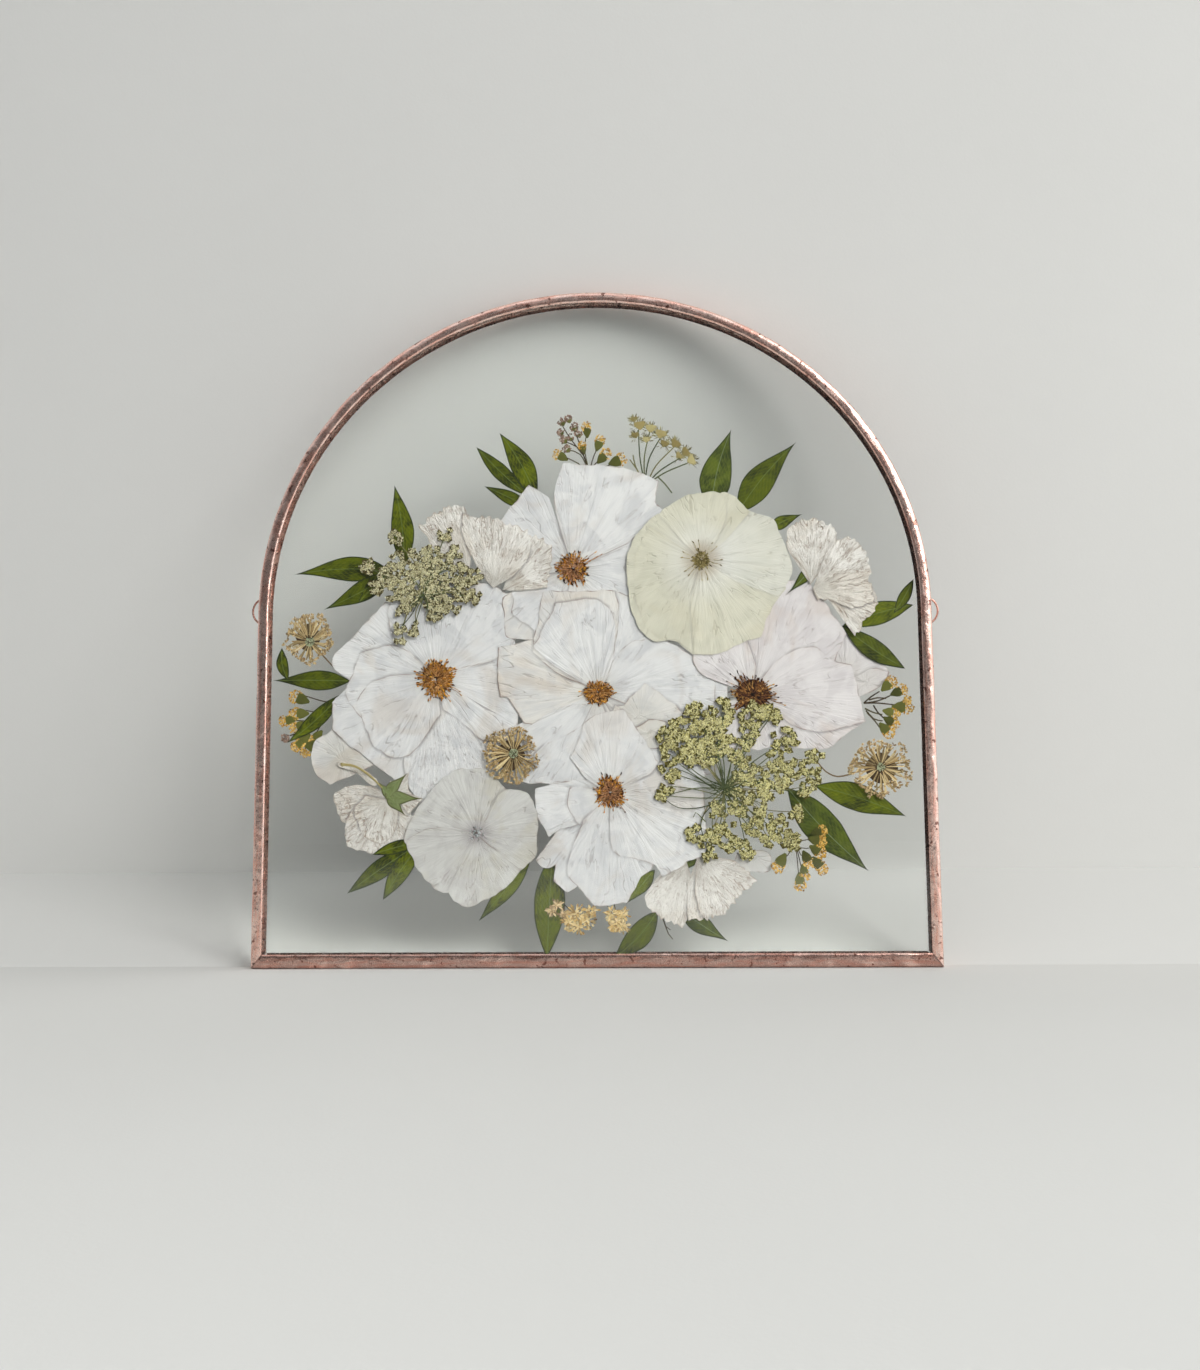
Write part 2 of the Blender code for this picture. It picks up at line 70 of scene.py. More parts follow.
CIRCLE = 2 * math.pi
LOOSE_CIRCLE = 6.3
BODY = "root"
log = logging.getLogger("pressed_flower_frame")

Point = tuple[float, float]
Rgb = tuple[float, float, float]
Array = np.ndarray
Socket = bpy.types.NodeSocket
Value = Socket | float | Rgb
Extent = tuple[float, float, float, float]
Material = bpy.types.Material


class Slot(Enum):
    """Material slots of the record."""

    RIM = "copper_rim"
    RING = "copper_ring"
    GLASS = "pane_glass"
    WHITE = "white_petal"
    CREAM = "cream_petal"
    BLUSH = "blush_petal"
    GREEN = "green_leaf"
    GREY = "grey_leaf"
    LACE = "lace"
    STRAW = "straw"
    BUD = "yellow_bud"
    TWIG = "brown_twig"


# Shader writing

class Recipe:
    """Writes one material as a tree of shader nodes."""

    def __init__(self, name: str) -> None:
        """Starts an empty material of that name.

        Args:
            name: the material's name.
        """
        self.material = bpy.data.materials.new(name)
        self.material.use_nodes = True
        self.tree = self.material.node_tree
        self.tree.nodes.clear()

    def add(self, kind: str, **settings: object) -> bpy.types.Node:
        """Adds a node.

        Args:
            kind: Blender's name of the node type, without its ShaderNode prefix.
            settings: properties of the node and their values.

        Returns:
            The new node.
        """
        node = self.tree.nodes.new("ShaderNode" + kind)
        for name, value in settings.items():
            setattr(node, name, value)
        return node

    def feed(self, socket: Socket, value: Value) -> None:
        """Links an output to the socket, or sets the socket's own value.

        Args:
            socket: the input.
            value: an output, a number or a colour.
        """
        if isinstance(value, bpy.types.NodeSocket):
            self.tree.links.new(value, socket)
        elif isinstance(value, tuple) and socket.type == "RGBA":
            socket.default_value = (*value, 1.0)
        else:
            socket.default_value = value

    def attribute(self, name: str) -> list[Socket]:
        """Reads a vector attribute of the mesh.

        Args:
            name: the attribute's name.

        Returns:
            One socket for each number.
        """
        split = self.add("SeparateXYZ")
        self.feed(split.inputs[0], self.add("Attribute", attribute_name=name).outputs["Vector"])
        return list(split.outputs)

    def vector(self, x: Value, y: Value, z: Value) -> Socket:
        """Puts three numbers together as a vector.

        Args:
            x: first number.
            y: second number.
            z: third number.

        Returns:
            The vector.
        """
        node = self.add("CombineXYZ")
        for socket, value in zip(node.inputs, (x, y, z)):
            self.feed(socket, value)
        return node.outputs[0]

    def math(self, operation: str, first: Value, second: Value = 0.0) -> Socket:
        """Does one sum.

        Args:
            operation: Blender's name of the sum.
            first: its first number.
            second: its second number, where it takes one.

        Returns:
            The result.
        """
        node = self.add("Math", operation=operation)
        self.feed(node.inputs[0], first)
        self.feed(node.inputs[1], second)
        return node.outputs[0]

    def times(self, first: Value, second: Value) -> Socket:
        """Product of two numbers."""
        return self.math("MULTIPLY", first, second)

    def noise(self, vector: Socket, scale: float, detail: float = 2.0, roughness: float = 0.5,
              warp: float = 0.0) -> Socket:
        """Noise from 0 to 1.

        Args:
            vector: where it is read.
            scale: features to one unit of the vector.
            detail: octaves.
            roughness: weight of the finer octaves.
            warp: distortion.

        Returns:
            The socket that carries the noise.
        """
        node = self.add("TexNoise")
        self.feed(node.inputs["Vector"], vector)
        for name, value in (("Scale", scale), ("Detail", detail), ("Roughness", roughness),
                            ("Distortion", warp)):
            self.feed(node.inputs[name], value)
        return node.outputs[0]

    def place(self) -> Socket:
        """The point's own place on the object, in metres."""
        return self.add("TexCoord").outputs["Object"]

    def rise(self, value: Value, low: Value, high: Value, bottom: float = 0.0, top: float = 1.0) -> Socket:
        """Smooth step.

        Args:
            value: what steps.
            low: where the step starts.
            high: where it ends.
            bottom: result at low.
            top: result at high.

        Returns:
            The result.
        """
        node = self.add("MapRange", interpolation_type="SMOOTHSTEP")
        for name, number in (("Value", value), ("From Min", low), ("From Max", high), ("To Min", bottom),
                             ("To Max", top)):
            self.feed(node.inputs[name], number)
        return node.outputs["Result"]

    def ramp(self, value: Socket, stops: tuple[tuple[float, Rgb], ...]) -> Socket:
        """Row of colours.

        Args:
            value: what picks the colour, from 0 to 1.
            stops: the places from 0 to 1 and their colours.

        Returns:
            The colour.
        """
        node = self.add("ValToRGB")
        elements = node.color_ramp.elements
        while len(elements) < len(stops):
            elements.new(0.5)
        for element, (position, colour) in zip(elements, stops):
            element.position = position
            element.color = (*colour, 1.0)
        self.feed(node.inputs[0], value)
        return node.outputs[0]

    def mix(self, share: Value, first: Value, second: Value, blend: str = "MIX") -> Socket:
        """Mixes two colours.

        Args:
            share: 0 for the first alone, 1 for the second at full strength.
            first: socket or colour.
            second: socket or colour.
            blend: Blender's name of the blend type.

        Returns:
            The mixed colour.
        """
        node = self.add("Mix", data_type="RGBA", blend_type=blend)
        self.feed(node.inputs[0], share)
        self.feed(node.inputs[6], first)
        self.feed(node.inputs[7], second)
        return node.outputs[2]

    def bump(self, height: Socket, depth: float, strength: float = 1.0,
             under: Socket | None = None) -> Socket:
        """Bump of that depth in metres.

        Args:
            height: relief, about 0 to 1.
            depth: metres for a height of 1.
            strength: share of the bump that shows.
            under: a normal that the bump is added to.

        Returns:
            The bumped normal.
        """
        node = self.add("Bump")
        self.feed(node.inputs["Height"], height)
        self.feed(node.inputs["Distance"], depth)
        self.feed(node.inputs["Strength"], strength)
        if under is not None:
            self.feed(node.inputs["Normal"], under)
        return node.outputs[0]

    def surface(self, colour: Value, roughness: Value, normal: Socket | None = None,
                **constants: float) -> Material:
        """Closes the material with a Principled shader.

        Args:
            colour: base colour.
            roughness: roughness.
            normal: bumped normal, if any.
            constants: other sockets by name, with _ for a space.

        Returns:
            The finished material.
        """
        shader = self.add("BsdfPrincipled")
        self.feed(shader.inputs["Base Color"], colour)
        self.feed(shader.inputs["Roughness"], roughness)
        for name, value in constants.items():
            self.feed(shader.inputs[name.replace("_", " ")], value)
        if normal is not None:
            self.feed(shader.inputs["Normal"], normal)
        self.feed(self.add("OutputMaterial").inputs["Surface"], shader.outputs[0])
        return self.material


# Finishes

@dataclass(frozen=True)
class PetalFinish:
    """Dried petal: cloudy body, faint veins, creases, stains, and an edge that has browned in places.
    Painted shade darkens its clouds, veins, folds and creases, and painted shadow lies near the petals above
    it.
    """

    name: str
    body: Rgb
    # shade is the colour of the painted shade in the clouds, veins, folds and pleats.
    shade: Rgb = (0.52, 0.53, 0.555)
    stain: Rgb = (0.60, 0.52, 0.44)
    edge: Rgb = (0.22, 0.145, 0.12)
    heart: Rgb = (0.54, 0.52, 0.45)
    staining: float = 0.40
    browning: float = 0.75
    veins: float = 0.28
    pleats: float = 0.0
    outline: float = 1.0
    flush: float = 0.34
    flush_from: float = 3.0
    flush_to: float = 14.0
    bloom: float = 0.0

    def dress(self) -> Material:
        """Writes the material.

        Returns:
            The finished material.
        """
        make = Recipe(self.name)
        run, reach, edge = make.attribute("grain")
        pick, phase, gap = make.attribute("tone")
        seed = make.times(phase, 60.0)
        fine = make.noise(make.vector(make.times(run, 1.3), make.times(reach, 0.09), seed), 1.0, 3.0, 0.6,
                          0.3)
        fold = make.noise(make.vector(make.times(run, 0.16), make.times(reach, 0.05), seed), 1.0, 2.0, 0.5,
                          0.5)
        cloud = make.noise(make.place(), 78.0, 4.0, 0.62, 1.2)
        patch = make.noise(make.place(), 38.0, 3.0, 0.55, 0.9)
        # Painted shade: crease lines along the folds, soft clouds, fine veins and broad folds all darken
        # towards the shade colour, with a bump of the same pattern.
        line = make.rise(make.math("ABSOLUTE", make.math("SUBTRACT", fold, 0.5)), 0.003, 0.022, 1.0, 0.0)
        line = make.times(line, make.rise(cloud, 0.42, 0.62))
        colour = make.mix(make.rise(cloud, 0.43, 0.62, 0.0, 0.40), self.body, self.shade)
        colour = make.mix(make.rise(fine, 0.46, 0.68, 0.0, self.veins), colour, self.shade)
        colour = make.mix(make.rise(fold, 0.50, 0.66, 0.0, 0.24), colour, self.shade)
        colour = make.mix(make.rise(patch, 0.50, 0.66, 0.0, self.staining), colour, self.stain)
        if self.bloom:
            colour = make.mix(make.rise(reach, 7.0, 24.0, self.bloom, 0.0), colour, (0.78, 0.775, 0.74))
        colour = make.mix(make.rise(reach, self.flush_from, self.flush_to, self.flush, 0.0), colour,
                          self.heart)
        colour = make.mix(make.rise(pick, 0.0, 1.0, 0.0, 0.16), colour, self.shade)
        colour = make.mix(make.times(line, 0.26), colour, self.edge)
        relief = make.math("ADD", make.times(fine, 0.35), make.times(fold, 1.3))
        relief = make.math("SUBTRACT", relief, make.times(line, 0.5))
        if self.pleats:
            # Painted shade in the pleats: the crimp's valleys and the crease lines darken towards the shade
            # and edge colours, besides their bump.
            crimp = make.noise(make.vector(make.times(run, 0.46), make.times(reach, 0.20), seed), 1.0, 4.0,
                               0.62, 2.4)
            colour = make.mix(make.rise(crimp, 0.52, 0.66, 0.0, 0.70 * self.pleats), colour, self.shade)
            colour = make.mix(make.rise(crimp, 0.66, 0.74, 0.0, 0.45 * self.pleats), colour, self.edge)
            bent = make.noise(make.vector(make.times(run, 0.30), make.times(reach, 0.085), seed), 1.0, 3.0,
                              0.55, 1.3)
            crease = make.rise(make.math("ABSOLUTE", make.math("SUBTRACT", bent, 0.5)), 0.004, 0.032,
                               self.pleats, 0.0)
            crease = make.times(crease, make.rise(cloud, 0.36, 0.56))
            colour = make.mix(make.times(crease, 0.72), colour, self.edge)
            relief = make.math("SUBTRACT", relief, make.times(crimp, 1.6 * self.pleats))
            relief = make.math("SUBTRACT", relief, make.times(crease, 1.0))
        # Painted shadow: the petal darkens near the edge of a petal that lies above it. outline sets its
        # strength and that of the rim line.
        shadow = make.times(make.rise(gap, 0.0, 1.3, 0.55 * self.outline, 0.0),
                            make.rise(patch, 0.38, 0.58, 0.12))
        colour = make.mix(shadow, colour, (0.17, 0.15, 0.155))
        where = make.noise(make.vector(make.times(run, 0.13), seed, 0.0), 1.0, 3.0, 0.65)
        halo = make.times(make.rise(edge, 0.0, 2.6, 0.36, 0.0),
                          make.rise(where, 0.40, 0.70, 0.0, self.browning))
        colour = make.mix(halo, colour, self.stain)
        # The dark line along the rim is partly browning and partly painted shadow of the petal's own edge.
        rim = make.rise(edge, 0.02, make.rise(where, 0.38, 0.66, 0.22, 0.60), self.outline, 0.0)
        colour = make.mix(make.times(rim, make.rise(where, 0.42, 0.60, 0.10, self.browning)), colour,
                          self.edge)
        return make.surface(colour, 0.62, make.bump(relief, 0.0006, 0.6), Specular_IOR_Level=0.25)


@dataclass(frozen=True)
class LeafFinish:
    """Pressed leaf: a light midrib, slanting veins, dark blotches and a thin dark edge."""

    name: str
    body: Rgb
    light: Rgb
    dark: Rgb
    edge: Rgb = (0.020, 0.028, 0.010)
    rib: Rgb = (0.16, 0.22, 0.06)

    def dress(self) -> Material:
        """Writes the material.

        Returns:
            The finished material.
        """
        make = Recipe(self.name)
        across, along, edge = make.attribute("grain")
        pick, phase, _ = make.attribute("tone")
        side = make.math("ABSOLUTE", across)
        slant = make.math("SUBTRACT", along, make.times(side, 1.5))
        wave = make.math("SINE", make.times(slant, 2.6))
        fibre = make.noise(make.vector(make.times(along, 0.35), make.times(across, 3.2), phase), 1.0, 3.0,
                           0.6)
        patch = make.noise(make.place(), 120.0, 3.0, 0.6, 0.8)
        shade = make.mix(make.rise(patch, 0.40, 0.66), self.body, self.dark)
        colour = make.mix(make.rise(fibre, 0.46, 0.72, 0.0, 0.58), shade, self.light)
        colour = make.mix(make.rise(wave, 0.72, 1.0, 0.0, 0.30), colour, self.light)
        colour = make.mix(make.rise(pick, 0.0, 1.0, 0.0, 0.38), colour, self.dark)
        colour = make.mix(make.rise(side, 0.06, 0.24, 0.62, 0.0), colour, self.rib)
        colour = make.mix(make.rise(edge, 0.12, 0.80, 0.94, 0.0), colour, self.edge)
        relief = make.math("ADD", make.times(fibre, 0.5), make.times(wave, 0.12))
        rough = make.rise(patch, 0.3, 0.7, 0.38, 0.55)
        return make.surface(colour, rough, make.bump(relief, 0.00025, 0.5), Specular_IOR_Level=0.15)


@dataclass(frozen=True)
class FibreFinish:
    """Small dry parts, such as stamens, florets and stalks. Each takes its own shade of a few colours, and
    is darkened as painted shade where it lies deep.
    """

    name: str
    shades: tuple[tuple[float, Rgb], ...]
    tip: Rgb
    tipping: float = 0.5
    roughness: float = 0.7

    def dress(self) -> Material:
        """Writes the material.

        Returns:
            The finished material.
        """
        make = Recipe(self.name)
        pick, length, deep = make.attribute("tone")
        grit = make.noise(make.place(), 2400.0, 2.0, 0.6)
        wander = make.math("ADD", pick, make.rise(grit, 0.25, 0.75, -0.14, 0.14))
        colour = make.ramp(wander, self.shades)
        colour = make.mix(make.times(make.rise(length, 0.25, 1.0), self.tipping), colour, self.tip)
        # Painted shade: a part with a low deep tone is darkened, as if it lay in the shade of those over it.
        colour = make.mix(make.rise(deep, 0.0, 1.0, 0.75, 0.0), colour, (0.10, 0.08, 0.03), "MULTIPLY")
        return make.surface(colour, self.roughness, make.bump(grit, 0.00012, 0.5), Specular_IOR_Level=0.10)


@dataclass(frozen=True)
class CopperFinish:
    """Copper over solder, worked by hand: hammering, drips, scratches, pits, and tarnish in the hollows,
    deepened on the foot as painted shade.
    """

    name: str
    bright: Rgb = (0.93, 0.51, 0.41)
    worn: Rgb = (0.985, 0.72, 0.63)
    tarnish: Rgb = (0.20, 0.075, 0.055)

    def dress(self) -> Material:
        """Writes the material.

        Returns:
            The finished material.
        """
        make = Recipe(self.name)
        along, around, hollow = make.attribute("grain")
        drawn = make.vector(make.times(along, 0.10), make.times(around, 0.8), 0.0)
        streak = make.noise(drawn, 1.0, 4.0, 0.6, 0.4)
        lump = make.noise(make.place(), 150.0, 3.0, 0.55, 0.6)
        grit = make.noise(make.place(), 1500.0, 2.0, 0.65)
        spot = make.noise(make.place(), 430.0, 2.0, 0.5, 0.3)
        colour = make.mix(make.rise(streak, 0.32, 0.62), self.bright, self.worn)
        colour = make.mix(make.rise(lump, 0.58, 0.80, 0.0, 0.18), colour, self.tarnish)
        colour = make.mix(make.rise(spot, 0.64, 0.69, 0.0, 0.85), colour, self.tarnish)
        # Tarnish in the hollows, and on the foot also painted shade, which the rail adds to the same number.
        colour = make.mix(make.rise(hollow, 0.60, 1.30, 0.0, 0.50), colour, self.tarnish)
        rough = make.math("ADD", make.rise(grit, 0.3, 0.7, 0.22, 0.30), make.rise(lump, 0.5, 0.8, 0.0, 0.10))
        low = make.bump(lump, 0.0008, 0.35)
        relief = make.math("ADD", make.times(spot, 0.6), make.times(streak, 0.7))
        return make.surface(colour, rough, make.bump(relief, 0.00045, 0.35, low), Metallic=1.0)


@dataclass(frozen=True)
class PaneFinish:
    """Clear float glass with a faint green body. Light passes through it to what lies behind."""

    name: str
    tint: Rgb = (0.972, 0.982, 0.974)

    def dress(self) -> Material:
        """Writes the material.

        Returns:
            The finished material.
        """
        make = Recipe(self.name)
        glass = make.add("BsdfPrincipled")
        make.feed(glass.inputs["Base Color"], self.tint)
        for name, value in (("Roughness", 0.0), ("IOR", 1.5), ("Transmission Weight", 1.0),
                            ("Normal", make.add("NewGeometry").outputs["True Normal"])):
            make.feed(glass.inputs[name], value)
        clear = make.add("BsdfTransparent")
        make.feed(clear.inputs["Color"], tuple(math.sqrt(part) for part in self.tint))
        either = make.add("MixShader")
        make.feed(either.inputs[0], make.add("LightPath").outputs["Is Shadow Ray"])
        make.feed(either.inputs[1], glass.outputs[0])
        make.feed(either.inputs[2], clear.outputs[0])
        make.feed(make.add("OutputMaterial").inputs["Surface"], either.outputs[0])
        return make.material


@dataclass(frozen=True)
class PaintFinish:
    """Matt paint of the floor and the wall, with painted shade that darkens it to near black far in front.
    It can show its front side only.
    """

    name: str
    colour: Rgb
    one_sided: bool = False
    near: float = -0.42
    far: float = -1.1

    def dress(self) -> Material:
        """Writes the material.

        Returns:
            The finished material.
        """
        make = Recipe(self.name)
        cloud = make.noise(make.place(), 3.0, 2.0)
        tooth = make.noise(make.place(), 900.0, 2.0)
        faded = tuple(part * 0.965 for part in self.colour)
        colour = make.mix(make.rise(cloud, 0.3, 0.7), self.colour, faded)
        # Painted shade: far in front of the frame the paint darkens to near black.
        split = make.add("SeparateXYZ")
        make.feed(split.inputs[0], make.place())
        colour = make.mix(make.rise(split.outputs[1], self.far, self.near, 1.0, 0.0), colour,
                          (0.06, 0.06, 0.06))
        material = make.surface(colour, 0.85, make.bump(tooth, 0.0002, 0.15), Specular_IOR_Level=0.2)
        if self.one_sided:
            shader = next(node for node in make.tree.nodes if node.type == "BSDF_PRINCIPLED")
            output = next(node for node in make.tree.nodes if node.type == "OUTPUT_MATERIAL")
            either = make.add("MixShader")
            make.feed(either.inputs[0], make.add("NewGeometry").outputs["Backfacing"])
            make.feed(either.inputs[1], shader.outputs[0])
            make.feed(either.inputs[2], make.add("BsdfTransparent").outputs[0])
            make.feed(output.inputs["Surface"], either.outputs[0])
        return material


Finish = PetalFinish | LeafFinish | FibreFinish | CopperFinish | PaneFinish | PaintFinish


# Lines and noise

def smooth_path(points: list[Point], corners: tuple[int, ...] = (), closed: bool = False,
                pace: float = 1.1) -> Array:
    """Curve through the points.

    Args:
        points: what it passes through.
        corners: numbers of the points that stay sharp.
        closed: whether the last point joins the first.
        pace: distance between the points that come back.

    Returns:
        Points of the curve, one to a row.
    """
    knots = np.asarray(points, float)
    count = len(knots)
    spans = count if closed else count - 1
    rows = []
    for index in range(spans):
        here, after = knots[index], knots[(index + 1) % count]
        before = knots[index - 1] if closed or index else here
        beyond = knots[(index + 2) % count] if closed or index + 2 < count else after
        straight = after - here
        leave = straight if index in corners else (after - before) / 2
        arrive = straight if (index + 1) % count in corners else (beyond - here) / 2
        steps = max(1, round(float(np.hypot(*straight)) / pace))
        t = (np.arange(steps) / steps)[:, None]
        rows.append((2 * t**3 - 3 * t**2 + 1) * here + (t**3 - 2 * t**2 + t) * leave
                    + (3 * t**2 - 2 * t**3) * after + (t**3 - t**2) * arrive)
    if not closed:
        rows.append(knots[-1:])
    return np.concatenate(rows)


def ripple(first: Array, second: Array, seed: int) -> Array:
    """Smooth noise.

    Args:
        first: one coordinate, with a feature to each unit.
        second: the other coordinate.
        seed: picks the pattern.

    Returns:
        Numbers from 0 to 1.
    """
    left, low = np.floor(first).astype(np.int64), np.floor(second).astype(np.int64)
    across, up = first - left, second - low
    across, up = across**2 * (3 - 2 * across), up**2 * (3 - 2 * up)

    def corner(i: Array, j: Array) -> Array:
        """Random number of one crossing of the grid.

        Args:
            i: number of its column.
            j: number of its row.

        Returns:
            Numbers from 0 to 1.
        """
        mixed = (i * 374761393 + j * 668265263 + seed * 362437) & 0x7FFFFFFF
        mixed = ((mixed ^ (mixed >> 13)) * 1274126177) & 0x7FFFFFFF
        return ((mixed ^ (mixed >> 16)) & 0xFFFF) / 65535.0

    bottom = corner(left, low) * (1 - across) + corner(left + 1, low) * across
    top = corner(left, low + 1) * (1 - across) + corner(left + 1, low + 1) * across
    return bottom * (1 - up) + top * up


def distance_to(line: Array, points: Array) -> Array:
    """Distance of each point from the nearest place on a line of many points.

    Args:
        line: the line's points.
        points: the points, one to a row.

    Returns:
        One distance for each point.
    """
    starts, steps = line[:-1], np.diff(line, axis=0)
    lengths = np.maximum((steps**2).sum(1), 1e-9)
    nearest = np.full(len(points), np.inf)
    for start, step, length in zip(starts, steps, lengths):
        off = points - start
        along = np.clip(off @ step / length, 0, 1)
        nearest = np.minimum(nearest, ((off - along[:, None] * step) ** 2).sum(1))
    return np.sqrt(nearest)


def gap_to(loops: list[Array], points: Array) -> Array:
    """Distance of each point from the petals that lie above it, which is negative under one of them.

    Args:
        loops: outlines of the petals above.
        points: the points, one to a row.

    Returns:
        One distance for each point, cut off at 9 mm.
    """
    nearest = np.full(len(points), 9.0)
    for loop in loops:
        near = ((points > loop.min(0) - 4) & (points < loop.max(0) + 4)).all(1)
        if near.any():
            away = distance_to(closed_up(loop), points[near])
            away[inside(loop, points[near, 0], points[near, 1])] *= -1
            nearest[near] = np.minimum(nearest[near], away)
    return nearest


def travelled(line: Array) -> Array:
    """Distance along the line to each of its points."""
    return np.concatenate([[0], np.cumsum(np.linalg.norm(np.diff(line, axis=0), axis=1))])


def closed_up(loop: Array) -> Array:
    """The loop with its first point once more at its end."""
    return np.concatenate([loop, loop[:1]])


def turns_back(loop: Array) -> bool:
    """Whether the loop goes round against the usual sense."""
    after = np.roll(loop, -1, axis=0)
    return (loop[:, 0] * after[:, 1] - loop[:, 1] * after[:, 0]).sum() < 0


def net_quads(here: Array, there: Array) -> Array:
    """Quads between rows of point numbers and the rows that follow them."""
    return np.stack([here[:, :-1], here[:, 1:], there[:, 1:], there[:, :-1]], -1).reshape(-1, 4)


def inside(loop: Array, x: Array, z: Array) -> Array:
    """Which of the points (x, z) lie inside the closed loop.

    Args:
        loop: the loop's points.
        x: across.
        z: up.

    Returns:
        Whether each point lies inside.
    """
    hit = np.zeros(x.shape, bool)
    for (ax, az), (bx, bz) in zip(loop, np.roll(loop, -1, axis=0)):
        if az != bz:
            hit ^= ((az > z) != (bz > z)) & (x < (bx - ax) * (z - az) / (bz - az) + ax)
    return hit


def turn(angle: float) -> Array:
    """Unit vector in the drawing's plane at that angle."""
    return np.array([math.cos(angle), math.sin(angle)])


def any_way(rng: random.Random, span: float = CIRCLE) -> Array:
    """Unit vector in the drawing's plane at a random angle from 0 to the span."""
    return turn(rng.uniform(0, span))


def raised(flat: Array, height: float | Array) -> Array:
    """Drawn points (x, z), or a single one, with a height between them: (x, height, z)."""
    return np.stack([flat[..., 0], np.broadcast_to(height, flat.shape[:-1]), flat[..., 1]], -1)


# Mesh writing

class Pressing:
    """Gathers the small solids of one piece and makes one mesh. Edges up to SMOOTH degrees look round."""

    SMOOTH = 50.0

    def __init__(self) -> None:
        """Starts with nothing in it."""
        self.points: list[Array] = []
        self.grain: list[Array] = []
        self.tone: list[Array] = []
        self.faces: list[tuple[Array, int]] = []
        self.count = 0

    def add(self, points: Array, faces: list[Array], tone: Array | Rgb, finish: int = 0,
            grain: Array | None = None) -> None:
        """Adds one closed solid.

        Args:
            points: (x, height, z) of each, in millimetres.
            faces: arrays of point numbers, one face to a row.
            tone: one row for each point, or one row for all.
            finish: number of its finish on the piece.
            grain: one row for each point, where the finish reads it.
        """
        rows = len(points)
        self.points.append(points)
        self.tone.append(np.broadcast_to(tone, (rows, 3)))
        self.grain.append(np.zeros((rows, 3)) if grain is None else grain)
        for group in faces:
            if len(group):
                self.faces.append((np.asarray(group) + self.count, finish))
        self.count += rows

    def build(self, name: str, places: Array, materials: list[Material]) -> bpy.types.Object:
        """Makes the object.

        Args:
            name: its name.
            places: the points in metres.
            materials: its finishes in order.

        Returns:
            The object, linked to the scene.
        """
        mesh = bpy.data.meshes.new(name)
        corners = np.concatenate([group.ravel() for group, _ in self.faces])
        sizes = np.concatenate([np.full(len(group), group.shape[1]) for group, _ in self.faces])
        finishes = np.concatenate([np.full(len(group), finish) for group, finish in self.faces])
        mesh.vertices.add(len(places))
        mesh.vertices.foreach_set("co", places.astype(np.float32).ravel())
        mesh.loops.add(len(corners))
        mesh.loops.foreach_set("vertex_index", corners.astype(np.int32))
        mesh.polygons.add(len(sizes))
        mesh.polygons.foreach_set("loop_start", (np.cumsum(sizes) - sizes).astype(np.int32))
        mesh.polygons.foreach_set("material_index", finishes.astype(np.int32))
        mesh.update(calc_edges=True)
        for label, rows in (("grain", self.grain), ("tone", self.tone)):
            layer = mesh.attributes.new(label, "FLOAT_VECTOR", "POINT")
            layer.data.foreach_set("vector", np.concatenate(rows).astype(np.float32).ravel())
        for material in materials:
            mesh.materials.append(material)
        mesh.shade_smooth()
        mesh.set_sharp_from_angle(angle=math.radians(self.SMOOTH))
        item = bpy.data.objects.new(name, mesh)
        bpy.context.collection.objects.link(item)
        return item


def tube_faces(stations: int, sides: int) -> list[Array]:
    """Faces of a closed tube.

    Args:
        stations: how many rings of points it has. The points of its two ends come after those of the rings.
        sides: points to a ring.

    Returns:
        The quads between the rings, then the triangles of both ends.
    """
    k = np.arange(sides)
    after = (k + 1) % sides
    quads = [np.stack([r * sides + k, r * sides + after, (r + 1) * sides + after, (r + 1) * sides + k], 1)
             for r in range(stations - 1)]
    start, last = stations * sides, (stations - 1) * sides
    head = np.stack([np.full(sides, start), after, k], 1)
    tail = np.stack([np.full(sides, start + 1), last + k, last + after], 1)
    return [*quads, head, tail]


def strand(line: Array, radii: Array, sides: int = 5) -> tuple[Array, list[Array]]:
    """Thin closed tube along a line.

    Args:
        line: (x, height, z) of its stations.
        radii: its radius at each station.
        sides: sides of its section.

    Returns:
        Its points and its faces.
    """
    along = np.gradient(line, axis=0)
    along /= np.maximum(np.linalg.norm(along, axis=1, keepdims=True), 1e-9)
    across = np.stack([along[:, 2], np.zeros(len(line)), -along[:, 0]], 1)
    across /= np.maximum(np.linalg.norm(across, axis=1, keepdims=True), 1e-6)
    up = np.cross(across, along)
    angles = CIRCLE * np.arange(sides) / sides
    ring = np.cos(angles)[None, :, None] * across[:, None] + np.sin(angles)[None, :, None] * up[:, None]
    body = (line[:, None] + ring * radii[:, None, None]).reshape(-1, 3)
    return np.concatenate([body, line[:1], line[-1:]]), tube_faces(len(line), sides)


def grain_of_rice(centre: Array, direction: Array, length: float, width: float, thick: float, sides: int,
                  rings: int) -> tuple[Array, list[Array]]:
    """Small closed spindle, such as an anther or the petal of a floret.

    Args:
        centre: its middle (x, height, z).
        direction: unit vector in the drawing's plane that it points along.
        length: from tip to tip.
        width: across, in the drawing's plane.
        thick: across, towards the viewer.
        sides: sides of its section.
        rings: rings between its tips.

    Returns:
        Its points and its faces.
    """
    along = np.array([direction[0], 0.0, direction[1]])
    across = np.array([direction[1], 0.0, -direction[0]])
    up = np.array([0.0, -1.0, 0.0])
    t = np.arange(1, rings + 1) / (rings + 1)
    swell = np.sin(math.pi * t) ** 0.7 / 2
    angles = CIRCLE * np.arange(sides) / sides
    ring = np.cos(angles)[:, None] * across * width - np.sin(angles)[:, None] * up * thick
    middles = centre + (t - 0.5)[:, None, None] * along * length
    body = (middles + ring[None] * swell[:, None, None]).reshape(-1, 3)
    tips = np.stack([centre - along * length / 2, centre + along * length / 2])
    return np.concatenate([body, tips]), tube_faces(rings, sides)


